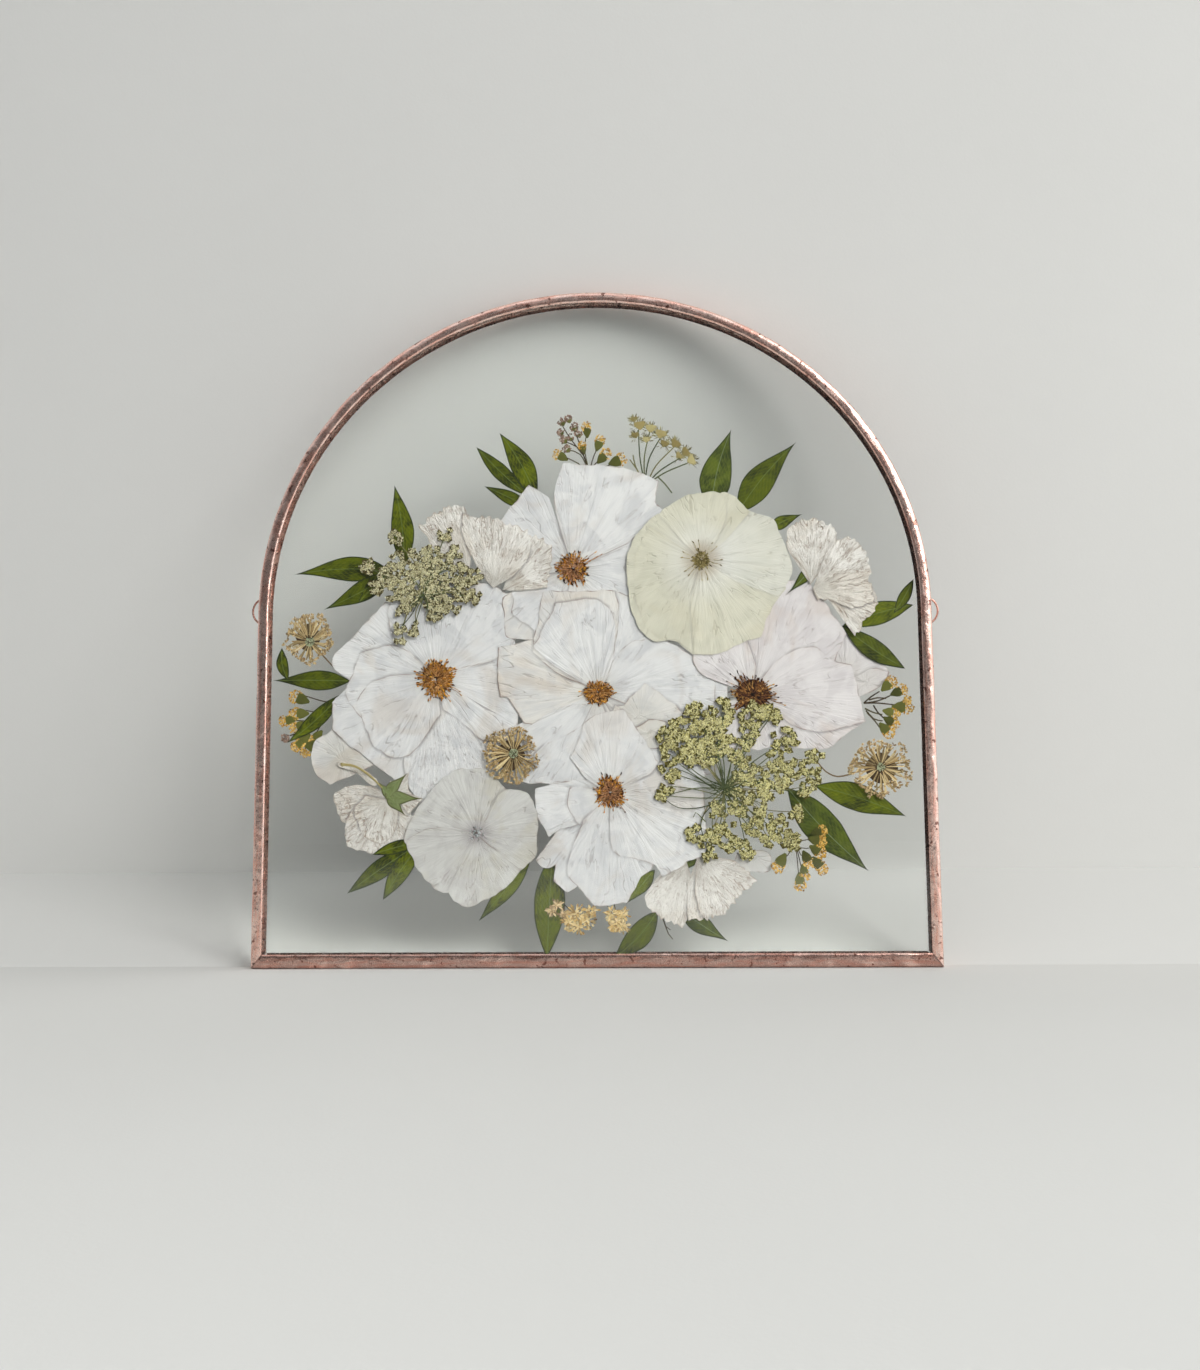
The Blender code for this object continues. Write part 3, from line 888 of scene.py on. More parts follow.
class Stack:
    """Height of what is already laid, on a grid, so that each petal rests on those under it."""

    PACE = 0.5
    REACH = 2

    def __init__(self, extent: Extent) -> None:
        """Starts flat.

        Args:
            extent: left, bottom, right and top.
        """
        left, bottom, right, top = extent
        self.x = np.arange(left - 3, right + 3, self.PACE)
        self.z = np.arange(bottom - 3, top + 3, self.PACE)
        self.grid_x, self.grid_z = np.meshgrid(self.x, self.z)
        self.height = np.zeros(self.grid_x.shape)
        self.rest = self.height.copy()

    def settle(self) -> None:
        """Works out the smooth surface that the next petal rests on."""
        def around(values: Array, step: int, pick: Callable[[list[Array]], Array]) -> Array:
            """One pass over the neighbours in both directions.

            Args:
                values: the grid.
                step: how many neighbours each way.
                pick: makes one value of a row of neighbours.

            Returns:
                The new grid.
            """
            for axis in (0, 1):
                values = pick([np.roll(values, shift, axis) for shift in range(-step, step + 1)])
            return values

        raised = around(self.height, self.REACH, lambda rows: np.maximum.reduce(rows))
        self.rest = around(raised, self.REACH, lambda rows: sum(rows) / len(rows))

    def read(self, points: Array) -> Array:
        """Height of the resting surface at the points.

        Args:
            points: (x, z), one to a row.

        Returns:
            One height for each point.
        """
        u = np.clip((points[:, 0] - self.x[0]) / self.PACE, 0, len(self.x) - 1.001)
        v = np.clip((points[:, 1] - self.z[0]) / self.PACE, 0, len(self.z) - 1.001)
        i, j = u.astype(int), v.astype(int)
        across, up = u - i, v - j
        grid = self.rest
        return ((grid[j, i] * (1 - across) + grid[j, i + 1] * across) * (1 - up)
                + (grid[j + 1, i] * (1 - across) + grid[j + 1, i + 1] * across) * up)

    def lay(self, loop: Array, thickness: float) -> None:
        """Adds a piece of that outline and thickness on top."""
        covered = inside(loop, self.grid_x, self.grid_z)
        self.height[covered] = np.maximum(self.height, self.rest + thickness)[covered]


@dataclass
class Bed:
    """Room of one pressed piece: the extent of its drawing laid over the box of its solid."""

    node: str
    extent: Extent
    spare: float = 0.12

    def places(self, drawn: Array) -> Array:
        """Lays drawn points in their room.

        Args:
            drawn: (x, height, z) in millimetres.

        Returns:
            Their places in metres, inside the piece's room.
        """
        low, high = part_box(self.node)
        flat = drawn[:, [0, 2]]
        first = np.minimum(self.extent[:2], flat.min(0))
        last = np.maximum(self.extent[2:], flat.max(0))
        corner, size = np.array([low.x, low.z]), np.array([high.x - low.x, high.z - low.z])
        across = corner + (flat - first) / (last - first) * size
        height = np.maximum(drawn[:, 1], 0)
        room = (high.y - low.y) / MM + self.spare
        height = height * min(1.0, room / max(float(height.max()), 1e-6))
        return np.stack([across[:, 0], high.y - height * MM, across[:, 1]], 1)


def extent_of(outlines: list[Array]) -> Extent:
    """Left, bottom, right and top of the outlines."""
    every = np.concatenate(outlines)
    return (*every.min(0), *every.max(0))


def present(piece: bpy.types.Object, slot: Slot, *nodes: str) -> None:
    """Makes the piece ride on the frame, hides the solids it stands for, and reports it.

    Args:
        piece: the finished object.
        slot: not used.
        nodes: the solids it stands for.
    """
    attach(piece, BODY)
    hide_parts(*nodes)
    log.info("%s: %d faces, for %s", piece.name, len(piece.data.polygons), ", ".join(nodes))


# Rim, rings and glass

@dataclass
class Rim:
    """Arched rim with a straight foot, and a groove inside that holds the panes. Its sizes are in metres.

    arch_share is the arch's length as a share of half a circle, whose radius is the mean of the rim's half
    width and its height.
    """

    side_face: float = 0.0047
    foot_face: float = 0.0058
    groove_start: float = 0.45
    groove_half: float = 0.0038
    spring_height: float = 0.1465
    pace: float = 0.0013
    dent: float = 0.00026
    seam: float = -0.008
    seam_width: float = 0.0012
    # The foot takes painted shade on top of the tarnish in its hollows.
    foot_painted_shade: float = 0.80
    arch_share: float = 0.62
    bead_steps: int = 12

    def line(self, inset: float, inset_foot: float, angles: int, rises: int) -> Array:
        """Line that runs inside the outer edge, from left foot to right foot.

        Args:
            inset: how far inside along the sides and the arch.
            inset_foot: how far up from the foot it starts.
            angles: steps round the arch.
            rises: steps up each side.

        Returns:
            (x, z) of its stations.
        """
        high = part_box("rim_arch_rail")[1]
        half, rise = high.x, high.z - self.spring_height
        up = inset_foot + (self.spring_height - inset_foot) * np.arange(rises) / rises
        left = np.stack([np.full(rises, -half + inset), up], 1)
        angle = math.pi * (1 - np.arange(angles + 1) / angles)
        edge = np.stack([half * np.cos(angle), rise * np.sin(angle)], 1)
        normal = np.stack([edge[:, 0] / half**2, edge[:, 1] / rise**2], 1)
        normal /= np.linalg.norm(normal, axis=1, keepdims=True)
        arch = edge - normal * inset + [0, self.spring_height]
        right = left[::-1] * [-1, 1]
        return np.concatenate([left, arch, right])

    def section(self) -> Array:
        """Rounded bead with its groove.

        Returns:
            (part of the way inward, y) of its corners, once round from the front lip.
        """
        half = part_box("rim_arch_rail")[1].y
        bead = []
        for k in range(self.bead_steps + 1):
            angle = math.pi / 2 * k / self.bead_steps
            bead.append((0.56 - 0.56 * math.sin(angle) ** 0.9,
                         -half * (0.50 + 0.50 * math.cos(angle) ** 0.75)))
        inner = [(1.0, -self.groove_half), (1.0, -half * 0.90), (0.95, -half * 0.955), (0.86, -half * 0.985),
                 (0.72, -half)]
        front = inner + bead
        back = [(inward, -y) for inward, y in reversed(front)]
        groove = [(self.groove_start, self.groove_half), (self.groove_start, -self.groove_half)]
        return np.array(front + back + groove)

    def rail(self, outer: Array, inner: Array, seed: int, painted_shade: float = 0.0) -> Pressing:
        """Sweeps the section from station to station.

        Args:
            outer: stations on the outer edge.
            inner: stations on the inner edge.
            seed: picks the pattern of the dents.
            painted_shade: painted shade, how much further the rail darkens towards the tarnish colour than
                its hollows alone make it.

        Returns:
            The closed rail, with its points in metres.
        """
        section = self.section()
        count, size = len(outer), len(section)
        along, around = travelled(outer) / MM, travelled(section * [self.side_face, 1.0]) / MM
        place = outer[:, None] + (inner - outer)[:, None] * section[None, :, :1]
        points = np.stack([place[..., 0], np.broadcast_to(section[:, 1], (count, size)), place[..., 1]], -1)
        middle = np.stack([(outer + inner)[:, 0] / 2, np.zeros(count), (outer + inner)[:, 1] / 2], 1)
        run, girth = np.meshgrid(along, around, indexing="ij")
        hollow = 0.6 * ripple(run / 6.5, girth / 4.0, seed) + 0.4 * ripple(run / 2.4, girth / 2.0, seed + 1)
        seam_at = np.exp(-(((place[..., 0] - self.seam) / self.seam_width) ** 2))
        seam_at = seam_at * (place[..., 1] > self.spring_height)
        hollow = np.clip(hollow * 1.25 - 0.12, 0, 1) * (1 - 0.8 * seam_at)
        bead = np.ones(size)
        bead[-2:] = 0
        bead[0] = bead[size - 3] = 0
        inward = middle[:, None] - points
        inward /= np.linalg.norm(inward, axis=2, keepdims=True)
        points = points + inward * (hollow * bead * self.dent)[..., None]
        numbers = np.arange(count * size).reshape(count, size)
        after = np.roll(numbers, -1, axis=1)
        quads = np.stack([numbers[:-1], after[:-1], after[1:], numbers[1:]], -1).reshape(-1, 4)
        made = Pressing()
        # The third number is the tarnish of the hollows plus painted shade.
        grain = np.stack([run, girth, hollow + painted_shade], -1).reshape(-1, 3)
        made.add(points.reshape(-1, 3), [quads, numbers[:1], numbers[-1:, ::-1]], (0, 0, 0), 0, grain)
        return made

    def build(self, copper: CopperFinish) -> None:
        """Makes the arch and the foot and dresses them.

        Args:
            copper: their finish.
        """
        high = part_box("rim_arch_rail")[1]
        angles = round(math.pi * (high.x + high.z) / 2 * self.arch_share / self.pace)
        rises = round(self.spring_height / self.pace)
        outer = self.line(0, 0, angles, rises)
        inner = self.line(self.side_face, self.foot_face, angles, rises)
        material = copper.dress()
        for name, node, made in (("rim_arch", "rim_arch_rail", self.rail(outer, inner, 3)),
                                 ("rim_foot", "rim_bottom_rail", self.foot())):
            present(made.build(name, np.concatenate(made.points), [material]), Slot.RIM, node)

    def foot(self) -> Pressing:
        """Straight rail of the foot, mitred at both ends.

        Returns:
            The rail, with its points in metres.
        """
        low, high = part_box("rim_bottom_rail")
        steps = round((high.x - low.x) / self.pace)
        share = (np.arange(steps + 1) / steps)[:, None]
        outer = np.array([low.x, low.z]) * (1 - share) + np.array([high.x, low.z]) * share
        top = low.z + self.foot_face
        inner = (np.array([low.x + self.side_face, top]) * (1 - share)
                 + np.array([high.x - self.side_face, top]) * share)
        return self.rail(outer, inner, 17, self.foot_painted_shade)


@dataclass
class HangingRing:
    """Loop of copper wire with a drop of solder at each end, where it meets the rim. Its sizes are in mm."""

    side: int
    radius: float = 5.8
    wire: float = 0.45
    gap: float = 0.1
    stations: int = 44

    def build(self, copper: Material) -> None:
        """Makes the ring and dresses it.

        Args:
            copper: its finish.
        """
        node = "hanging_ring_left" if self.side < 0 else "hanging_ring_right"
        low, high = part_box(node)
        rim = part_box("rim_arch_rail")[1].x / MM
        height = (low.z + high.z) / 2 / MM
        reach = max(abs(low.x), abs(high.x)) / MM
        middle = reach - self.radius - self.wire
        opening = math.acos((rim + self.gap - middle) / self.radius)
        angles = np.linspace(-opening, opening, self.stations)
        made = Pressing()
        line = np.stack([self.side * (middle + self.radius * np.cos(angles)), np.zeros(self.stations),
                         height + self.radius * np.sin(angles)], 1)
        uneven = 1 - 0.10 * ripple(angles * 5, angles * 0, 5)
        points, faces = strand(line, self.wire * uneven, 10)
        run = np.stack([points[:, 0] * 3, points[:, 2] * 3, np.full(len(points), 0.35)], 1)
        made.add(points, faces, (0, 0, 0), 0, run)
        for end in (line[0], line[-1]):
            blob, sides = grain_of_rice(end, np.array([0.0, 1.0]), 1.5, 0.95, 0.86, 10, 6)
            made.add(blob, sides, (0, 0, 0), 0, blob * [3, 3, 0])
        places = np.concatenate(made.points) * MM
        present(made.build(node + "_wire", places, [copper]), Slot.RING, node)


@dataclass
class Panes:
    """The two panes of glass, whose solids stay and take a clear finish."""

    names: tuple[str, str] = ("glass_front", "glass_back")

    def dress(self, finish: PaneFinish) -> None:
        """Gives both panes the glass finish.

        Args:
            finish: the glass.
        """
        material = finish.dress()
        for name in self.names:
            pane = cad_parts[name]
            for slot in pane.material_slots:
                slot.material = material
            log.info("%s: glass", name)


# Petals and flowers

@dataclass(frozen=True)
class Petal:
    """One petal. It spreads from its base to the line of its rim."""

    rim: list[Point]
    corners: tuple[int, ...] = ()
    base: Point | None = None
    closed: bool = False
    pleats: float = 1.0
    finish: int = 0
    fringe: float = 0.0


@dataclass(frozen=True)
class Crown:
    """Stamens in the middle of a flower: a tangle of fibres, with anthers on short stalks round it."""

    centre: Point
    half_width: float
    half_height: float
    height: float = 0.6
    anthers: int = 210
    fibres: int = 110
    core: float = 0.62
    strays: tuple[Point, ...] = ()

    def grow(self, made: Pressing, seed: int, fibre: int, anther: int) -> None:
        """Adds the stamens.

        Args:
            made: the piece they belong to.
            seed: picks their places.
            fibre: finish of the fibres.
            anther: finish of the anthers.
        """
        rng = random.Random(seed)
        middle = np.array(self.centre, float)
        size = np.array([self.half_width, self.half_height])
        lift = self.height / 0.6
        wide, tall = size * 1.55
        # A dark pad under the stamens: painted shade in the gaps between them, made darker still by its low
        # deep tone.
        made.add(*grain_of_rice(raised(middle, 0.14), turn(0.0), wide, tall, 0.24 * lift, 20, 9),
                 (0.12, 0.0, 0.25), anther)
        for _ in range(self.fibres):
            angle, start = rng.uniform(0, CIRCLE), self.core * math.sqrt(rng.random()) * 0.9
            root = turn(angle) * start
            heading = turn(angle + rng.gauss(0, 0.8))
            reach = rng.uniform(0.12, 0.30)
            bend = any_way(rng) * 0.07
            stops = [root, root + heading * reach * 0.5 + bend, root + heading * reach]
            flat = np.array(stops) * size + middle
            high = np.array([0.30, 0.46, 0.40]) * lift * rng.uniform(0.85, 1.12)
            made.add(*strand(raised(flat, high), np.array([0.14, 0.17, 0.08]) * rng.uniform(0.8, 1.3), 5),
                     (rng.random(), rng.random() * 0.5, rng.uniform(0.0, 1.0)), fibre)
        for number in range(self.anthers):
            angle = rng.uniform(0, CIRCLE)
            end = rng.uniform(0.60, 1.0) if number % 5 else rng.uniform(0.25, 0.75)
            end *= (0.98 + 0.08 * math.sin(angle * 3 + seed) + 0.07 * math.sin(angle * 8 + seed * 2)
                    + rng.gauss(0, 0.05))
            self.stamen(made, middle + turn(angle) * size * max(0.1, end - 0.42),
                        middle + turn(angle + rng.gauss(0, 0.07)) * size * end, rng, lift, (fibre, anther))
        for stray in self.strays:
            tip = np.array(stray)
            self.stamen(made, middle + (tip - middle) * 0.6, tip, rng, lift * 0.5, (fibre, anther))

    def stamen(self, made: Pressing, root: Array, tip: Array, rng: random.Random, lift: float,
               finishes: tuple[int, int]) -> None:
        """Adds one stamen.

        Args:
            made: the piece it belongs to.
            root: where its filament starts.
            tip: where its anther is.
            rng: gives its small differences.
            lift: how high it stands, as a share of the usual height.
            finishes: finishes of the filament and the anther.
        """
        high = rng.uniform(0.26, 0.52) * lift
        bend = (root + tip) / 2 + any_way(rng) * 0.35
        line = raised(np.array([root, bend, tip]), high * np.array([0.6, 1.0, 0.9]))
        made.add(*strand(line, np.array([0.12, 0.10, 0.08]), 4),
                 (rng.uniform(0.2, 0.8), rng.random() * 0.4, 0.8), finishes[0])
        heading = tip - root + any_way(rng) * rng.uniform(0, 2.0)
        heading /= max(float(np.hypot(*heading)), 1e-6)
        made.add(*grain_of_rice(raised(tip, high), heading, rng.uniform(0.8, 1.7), rng.uniform(0.36, 0.62),
                                0.3, 6, 3), (rng.random(), rng.random() * 0.4, rng.uniform(0.0, 1.0)),
                 finishes[1])


def spread(path: Array, base: Array, closed: bool, pace: float) -> tuple[Array, list[Array], Array, Array]:
    """Flat net that runs out from a base to a path.

    Args:
        path: points of the rim.
        base: where the rays start.
        closed: whether the path goes all the way round the base.
        pace: distance between rows.

    Returns:
        Points, faces, the border as point numbers, and each point's place along the rim.
    """
    if turns_back(path if closed else np.concatenate([[base], path])):
        path = path[::-1]
    rays = len(path)
    rows = max(5, round(float(np.linalg.norm(path - base, axis=1).max()) / (1.7 * pace)))
    share = (np.arange(1, rows + 1) / rows) ** 0.75
    body = base + (path - base)[:, None] * share[None, :, None]
    points = np.concatenate([[base], body.reshape(-1, 2)])
    number = 1 + np.arange(rays * rows).reshape(rays, rows)
    here, there = (number, np.roll(number, -1, axis=0)) if closed else (number[:-1], number[1:])
    fan = np.stack([np.zeros(len(here), int), here[:, 0], there[:, 0]], 1)
    three_sides = np.concatenate([[0], number[0], number[1:, -1], number[-1, -2::-1]])
    border = number[:, -1] if closed else three_sides
    run = np.concatenate([[0], np.repeat(travelled(path), rows)])
    return points, [net_quads(here, there), fan], border, run


def sheet_solid(flat: Array, faces: list[Array], border: Array, bottom: Array,
                thickness: float) -> tuple[Array, list[Array]]:
    """Closed thin solid from a flat net.

    Args:
        flat: (x, z) of its points.
        faces: its faces, seen from the front.
        border: point numbers of its edge, in order.
        bottom: height of its back at each point.
        thickness: how thick it is.

    Returns:
        Points and faces of the solid.
    """
    count = len(flat)
    after = np.roll(border, -1)
    wall = np.stack([border, border + count, after + count, after], 1)
    sides = [np.asarray(group)[:, ::-1] + count for group in faces]
    return np.concatenate([raised(flat, bottom + thickness), raised(flat, bottom)]), [*faces, *sides, wall]


@dataclass
class PressedFlower:
    """Flower with its petals laid over one another, from the back one to the front one."""

    node: str
    slot: Slot
    heart: Point
    petals: list[Petal]
    seed: int
    crowns: list[Crown] = field(default_factory=list)
    thickness: float = 0.030
    fold: float = 0.040
    wave: float = 6.0
    room: float = 0.30
    floor: float = 0.0
    pace: float = 1.25
    made: Pressing = field(default_factory=Pressing)

    def outline(self, petal: Petal, number: int) -> Array:
        """Rim of a petal with the small unevenness of a real edge.

        Args:
            petal: the petal.
            number: its place in the stack.

        Returns:
            Points of the rim.
        """
        path = smooth_path(petal.rim, petal.corners, petal.closed, self.pace)
        base = np.array(petal.base or self.heart)
        travel = travelled(path)
        reach = np.linalg.norm(path - base, axis=1, keepdims=True)
        uneven = (ripple(travel / 3.1, travel * 0 + number, self.seed) - 0.5) * 0.80
        uneven += (ripple(travel / 1.5, travel * 0 + number, self.seed + 5) - 0.5) * 0.36
        uneven += (ripple(travel / 1.1, travel * 0 + number, self.seed + 6) - 0.5) * petal.fringe * 1.5
        return path + (path - base) / np.maximum(reach, 1e-6) * uneven[:, None]

    def lay_petals(self) -> None:
        """Lays every petal on those before it, and keeps the stack within its room."""
        outlines = [self.outline(petal, number) for number, petal in enumerate(self.petals)]
        self.extent = extent_of(outlines)
        stack = Stack(self.extent)
        loops = [path if petal.closed else np.concatenate([[petal.base or self.heart], path])
                 for petal, path in zip(self.petals, outlines)]
        laid = []
        for number, (petal, path) in enumerate(zip(self.petals, outlines)):
            base = np.array(petal.base or self.heart, float)
            flat, faces, border, run = spread(path, base, petal.closed, self.pace)
            reach = np.linalg.norm(flat - base, axis=1)
            seed = self.seed * 31 + number
            bent = run + 4.0 * (petal.pleats - 1) * (ripple(run / 7, reach / 6, seed + 3) - 0.5)
            fold = (ripple(bent / self.wave, reach / 38, seed)
                    + 0.45 * ripple(bent / 2.1, reach / 20, seed + 9))
            fold = fold / 1.45 * np.clip((reach - 2) / 7, 0, 1)
            if petal.pleats > 1:
                fold = fold ** 1.2 * petal.pleats
            stack.settle()
            laid.append((petal, number, flat, faces, border, run, reach,
                         stack.read(flat) + fold * self.fold))
            stack.lay(loops[number], self.thickness + self.fold * 0.9 * max(1.0, petal.pleats))
        top = max(float(row[-1].max()) for row in laid) + self.thickness
        squeeze = min(1.0, (self.room - self.floor) / top)
        for petal, number, flat, faces, border, run, reach, bottom in laid:
            bottom = self.floor + bottom * squeeze
            points, solid = sheet_solid(flat, faces, border, bottom, self.thickness * squeeze)
            edge = distance_to(closed_up(flat[border]), flat)
            grain = np.stack([run, reach, edge], 1)
            tint = ((number * 0.37 + self.seed * 0.11) % 1.0, (number * 0.61 + self.seed * 0.23) % 1.0)
            gap = gap_to(loops[number + 1:], flat)
            tone = np.stack([np.full(len(flat), tint[0]), np.full(len(flat), tint[1]), gap], 1)
            self.made.add(points, solid, np.tile(tone, (2, 1)), petal.finish, np.tile(grain, (2, 1)))

    def build(self, materials: list[Material]) -> None:
        """Makes the flower.

        Args:
            materials: its petal finishes, then the fibres and anthers of its crowns, then any others.
        """
        self.lay_petals()
        for crown in self.crowns:
            crown.grow(self.made, self.seed, self.fibre_finish, self.fibre_finish + 1)
        self.trim()
        bed = Bed(self.node, self.extent)
        piece = self.made.build(self.node + "_pressed", bed.places(np.concatenate(self.made.points)),
                                materials)
        present(piece, self.slot, self.node)

    @property
    def fibre_finish(self) -> int:
        """Number of the first finish after those of the petals."""
        return max(petal.finish for petal in self.petals) + 1

    def trim(self) -> None:
        """Adds what a plain flower hasn't got."""


@dataclass
class BudFlower(PressedFlower):
    """Half open flower with crumpled petals, a green calyx of pointed sepals, and a long pistil."""

    sepals: tuple[tuple[Point, Point, float], ...] = ()
    pistil: tuple[Point, ...] = ()
    sepal_finish: int = 1
    pistil_finish: int = 2

    def trim(self) -> None:
        """Adds the sepals and the pistil."""
        for number, (tip, base, width) in enumerate(self.sepals):
            sepal = Leaf(tip, base, width, 0.0, 0.7)
            sepal.lay(self.made, self.sepal_finish, self.seed + number, 0.16, 0.05)
        if self.pistil:
            line = smooth_path(list(self.pistil), pace=0.6)
            points, faces = strand(raised(line, 0.30), np.linspace(0.55, 0.30, len(line)), 6)
            points[:, 1] = 0.24 + (points[:, 1] - 0.30) * 0.2
            self.made.add(points, faces, (0.7, 0.2, 1.0), self.pistil_finish)
            rng = random.Random(self.seed)
            for _ in range(9):
                spot = line[0] + any_way(rng, LOOSE_CIRCLE) * rng.uniform(0, 0.9)
                points, faces = grain_of_rice(raised(spot, 0.26), any_way(rng, LOOSE_CIRCLE),
                                              rng.uniform(1.0, 1.7), 0.9, 0.2, 6, 3)
                self.made.add(points, faces, (rng.random(), 0.5, 1.0), self.pistil_finish)


# Leaves

@dataclass(frozen=True)
class Leaf:
    """Pointed leaf with a midrib. belly is where it is widest, from tip to base. bend bows it sideways."""

    tip: Point
    base: Point
    width: float
    bend: float = 0.0
    belly: float = 0.55
    rows: int = 34
    columns: int = 6

    def net(self, seed: int) -> tuple[Array, Array, Array]:
        """Flat points of the leaf.

        Args:
            seed: picks the unevenness of its edge.

        Returns:
            Points by row and column, the share across from -1 to 1, and the half width of each row.
        """
        start, end = np.array(self.tip), np.array(self.base)
        along = end - start
        across = np.array([along[1], -along[0]]) / np.hypot(*along)
        power = math.log(0.5) / math.log(self.belly)
        t = np.arange(1, self.rows) / self.rows
        half = self.width / 2 * np.sin(math.pi * t**power)
        share = np.arange(-self.columns, self.columns + 1) / self.columns
        edge = 1 + 0.05 * (ripple(t * 9, t * 0, seed) - 0.5)
        middle = start + along * t[:, None] + across * (self.bend * np.sin(math.pi * t))[:, None]
        points = middle[:, None] + across * (half * edge)[:, None, None] * share[None, :, None]
        return points, share, half

    def lay(self, made: Pressing, finish: int, seed: int, floor: float = 0.0,
            thickness: float = 0.09) -> None:
        """Adds the leaf to a piece.

        Args:
            made: the piece.
            finish: number of its finish.
            seed: picks its small differences.
            floor: height of its back.
            thickness: how thick it is.
        """
        points, share, half = self.net(seed)
        rows, columns = points.shape[:2]
        flat = np.concatenate([points.reshape(-1, 2), [self.tip], [self.base]])
        number = np.arange(rows * columns).reshape(rows, columns)
        quads = net_quads(number[:-1], number[1:])
        tip, base = rows * columns, rows * columns + 1
        top = np.stack([number[0, 1:], number[0, :-1], np.full(columns - 1, tip)], 1)
        low = np.stack([number[-1, :-1], number[-1, 1:], np.full(columns - 1, base)], 1)
        border = np.concatenate([[tip], number[:, 0], [base], number[::-1, -1]])
        loop = flat[border]
        faces = [quads, top, low]
        if turns_back(loop):
            border = border[::-1]
        first = flat[quads[len(quads) // 2]]
        if np.cross(first[1] - first[0], first[2] - first[0]) < 0:
            faces = [group[:, ::-1] for group in faces]
        side = np.concatenate([(half[:, None] * share[None]).ravel(), [0, 0]])
        length = float(np.hypot(*(np.array(self.base) - self.tip)))
        along = np.concatenate([np.repeat(np.arange(1, rows + 1) / self.rows * length, columns),
                                [0, length]])
        ribs = 0.5 + 0.5 * np.sin((along - np.abs(side) * 1.5) * 2.6)
        hump = 0.035 * ribs + 0.05 * np.exp(-((side / 0.30) ** 2)) + 0.05 * ripple(along / 5, side / 3, seed)
        edge = distance_to(closed_up(loop), flat)
        bottom = floor + hump * np.clip(edge / 0.5, 0, 1)
        solid, closed = sheet_solid(flat, faces, border, bottom, thickness)
        grain = np.stack([side, along, edge], 1)
        tone = ((seed * 0.37) % 1.0, (seed * 7.3) % 9.0, 1.0)
        made.add(solid, closed, tone, finish, np.tile(grain, (2, 1)))

    def outline(self) -> Array:
        """Edge points of the leaf, with both its ends."""
        points, _, _ = self.net(0)
        return np.concatenate([points[:, 0], points[:, -1], [self.tip], [self.base]])


@dataclass
class LeafSprig:
    """One leaf, or a few that meet at their bases."""

    node: str
    slot: Slot
    leaves: list[Leaf]
    seed: int

    def build(self, leaf: Material) -> None:
        """Makes the sprig and dresses it.

        Args:
            leaf: its finish.
        """
        made = Pressing()
        for number, one in enumerate(self.leaves):
            one.lay(made, 0, self.seed + number, 0.055 * number)
        bed = Bed(self.node, extent_of([one.outline() for one in self.leaves]))
        places = bed.places(np.concatenate(made.points))
        present(made.build(self.node + "_pressed", places, [leaf]), self.slot, self.node)


# Umbels, seed heads, buds and other small parts

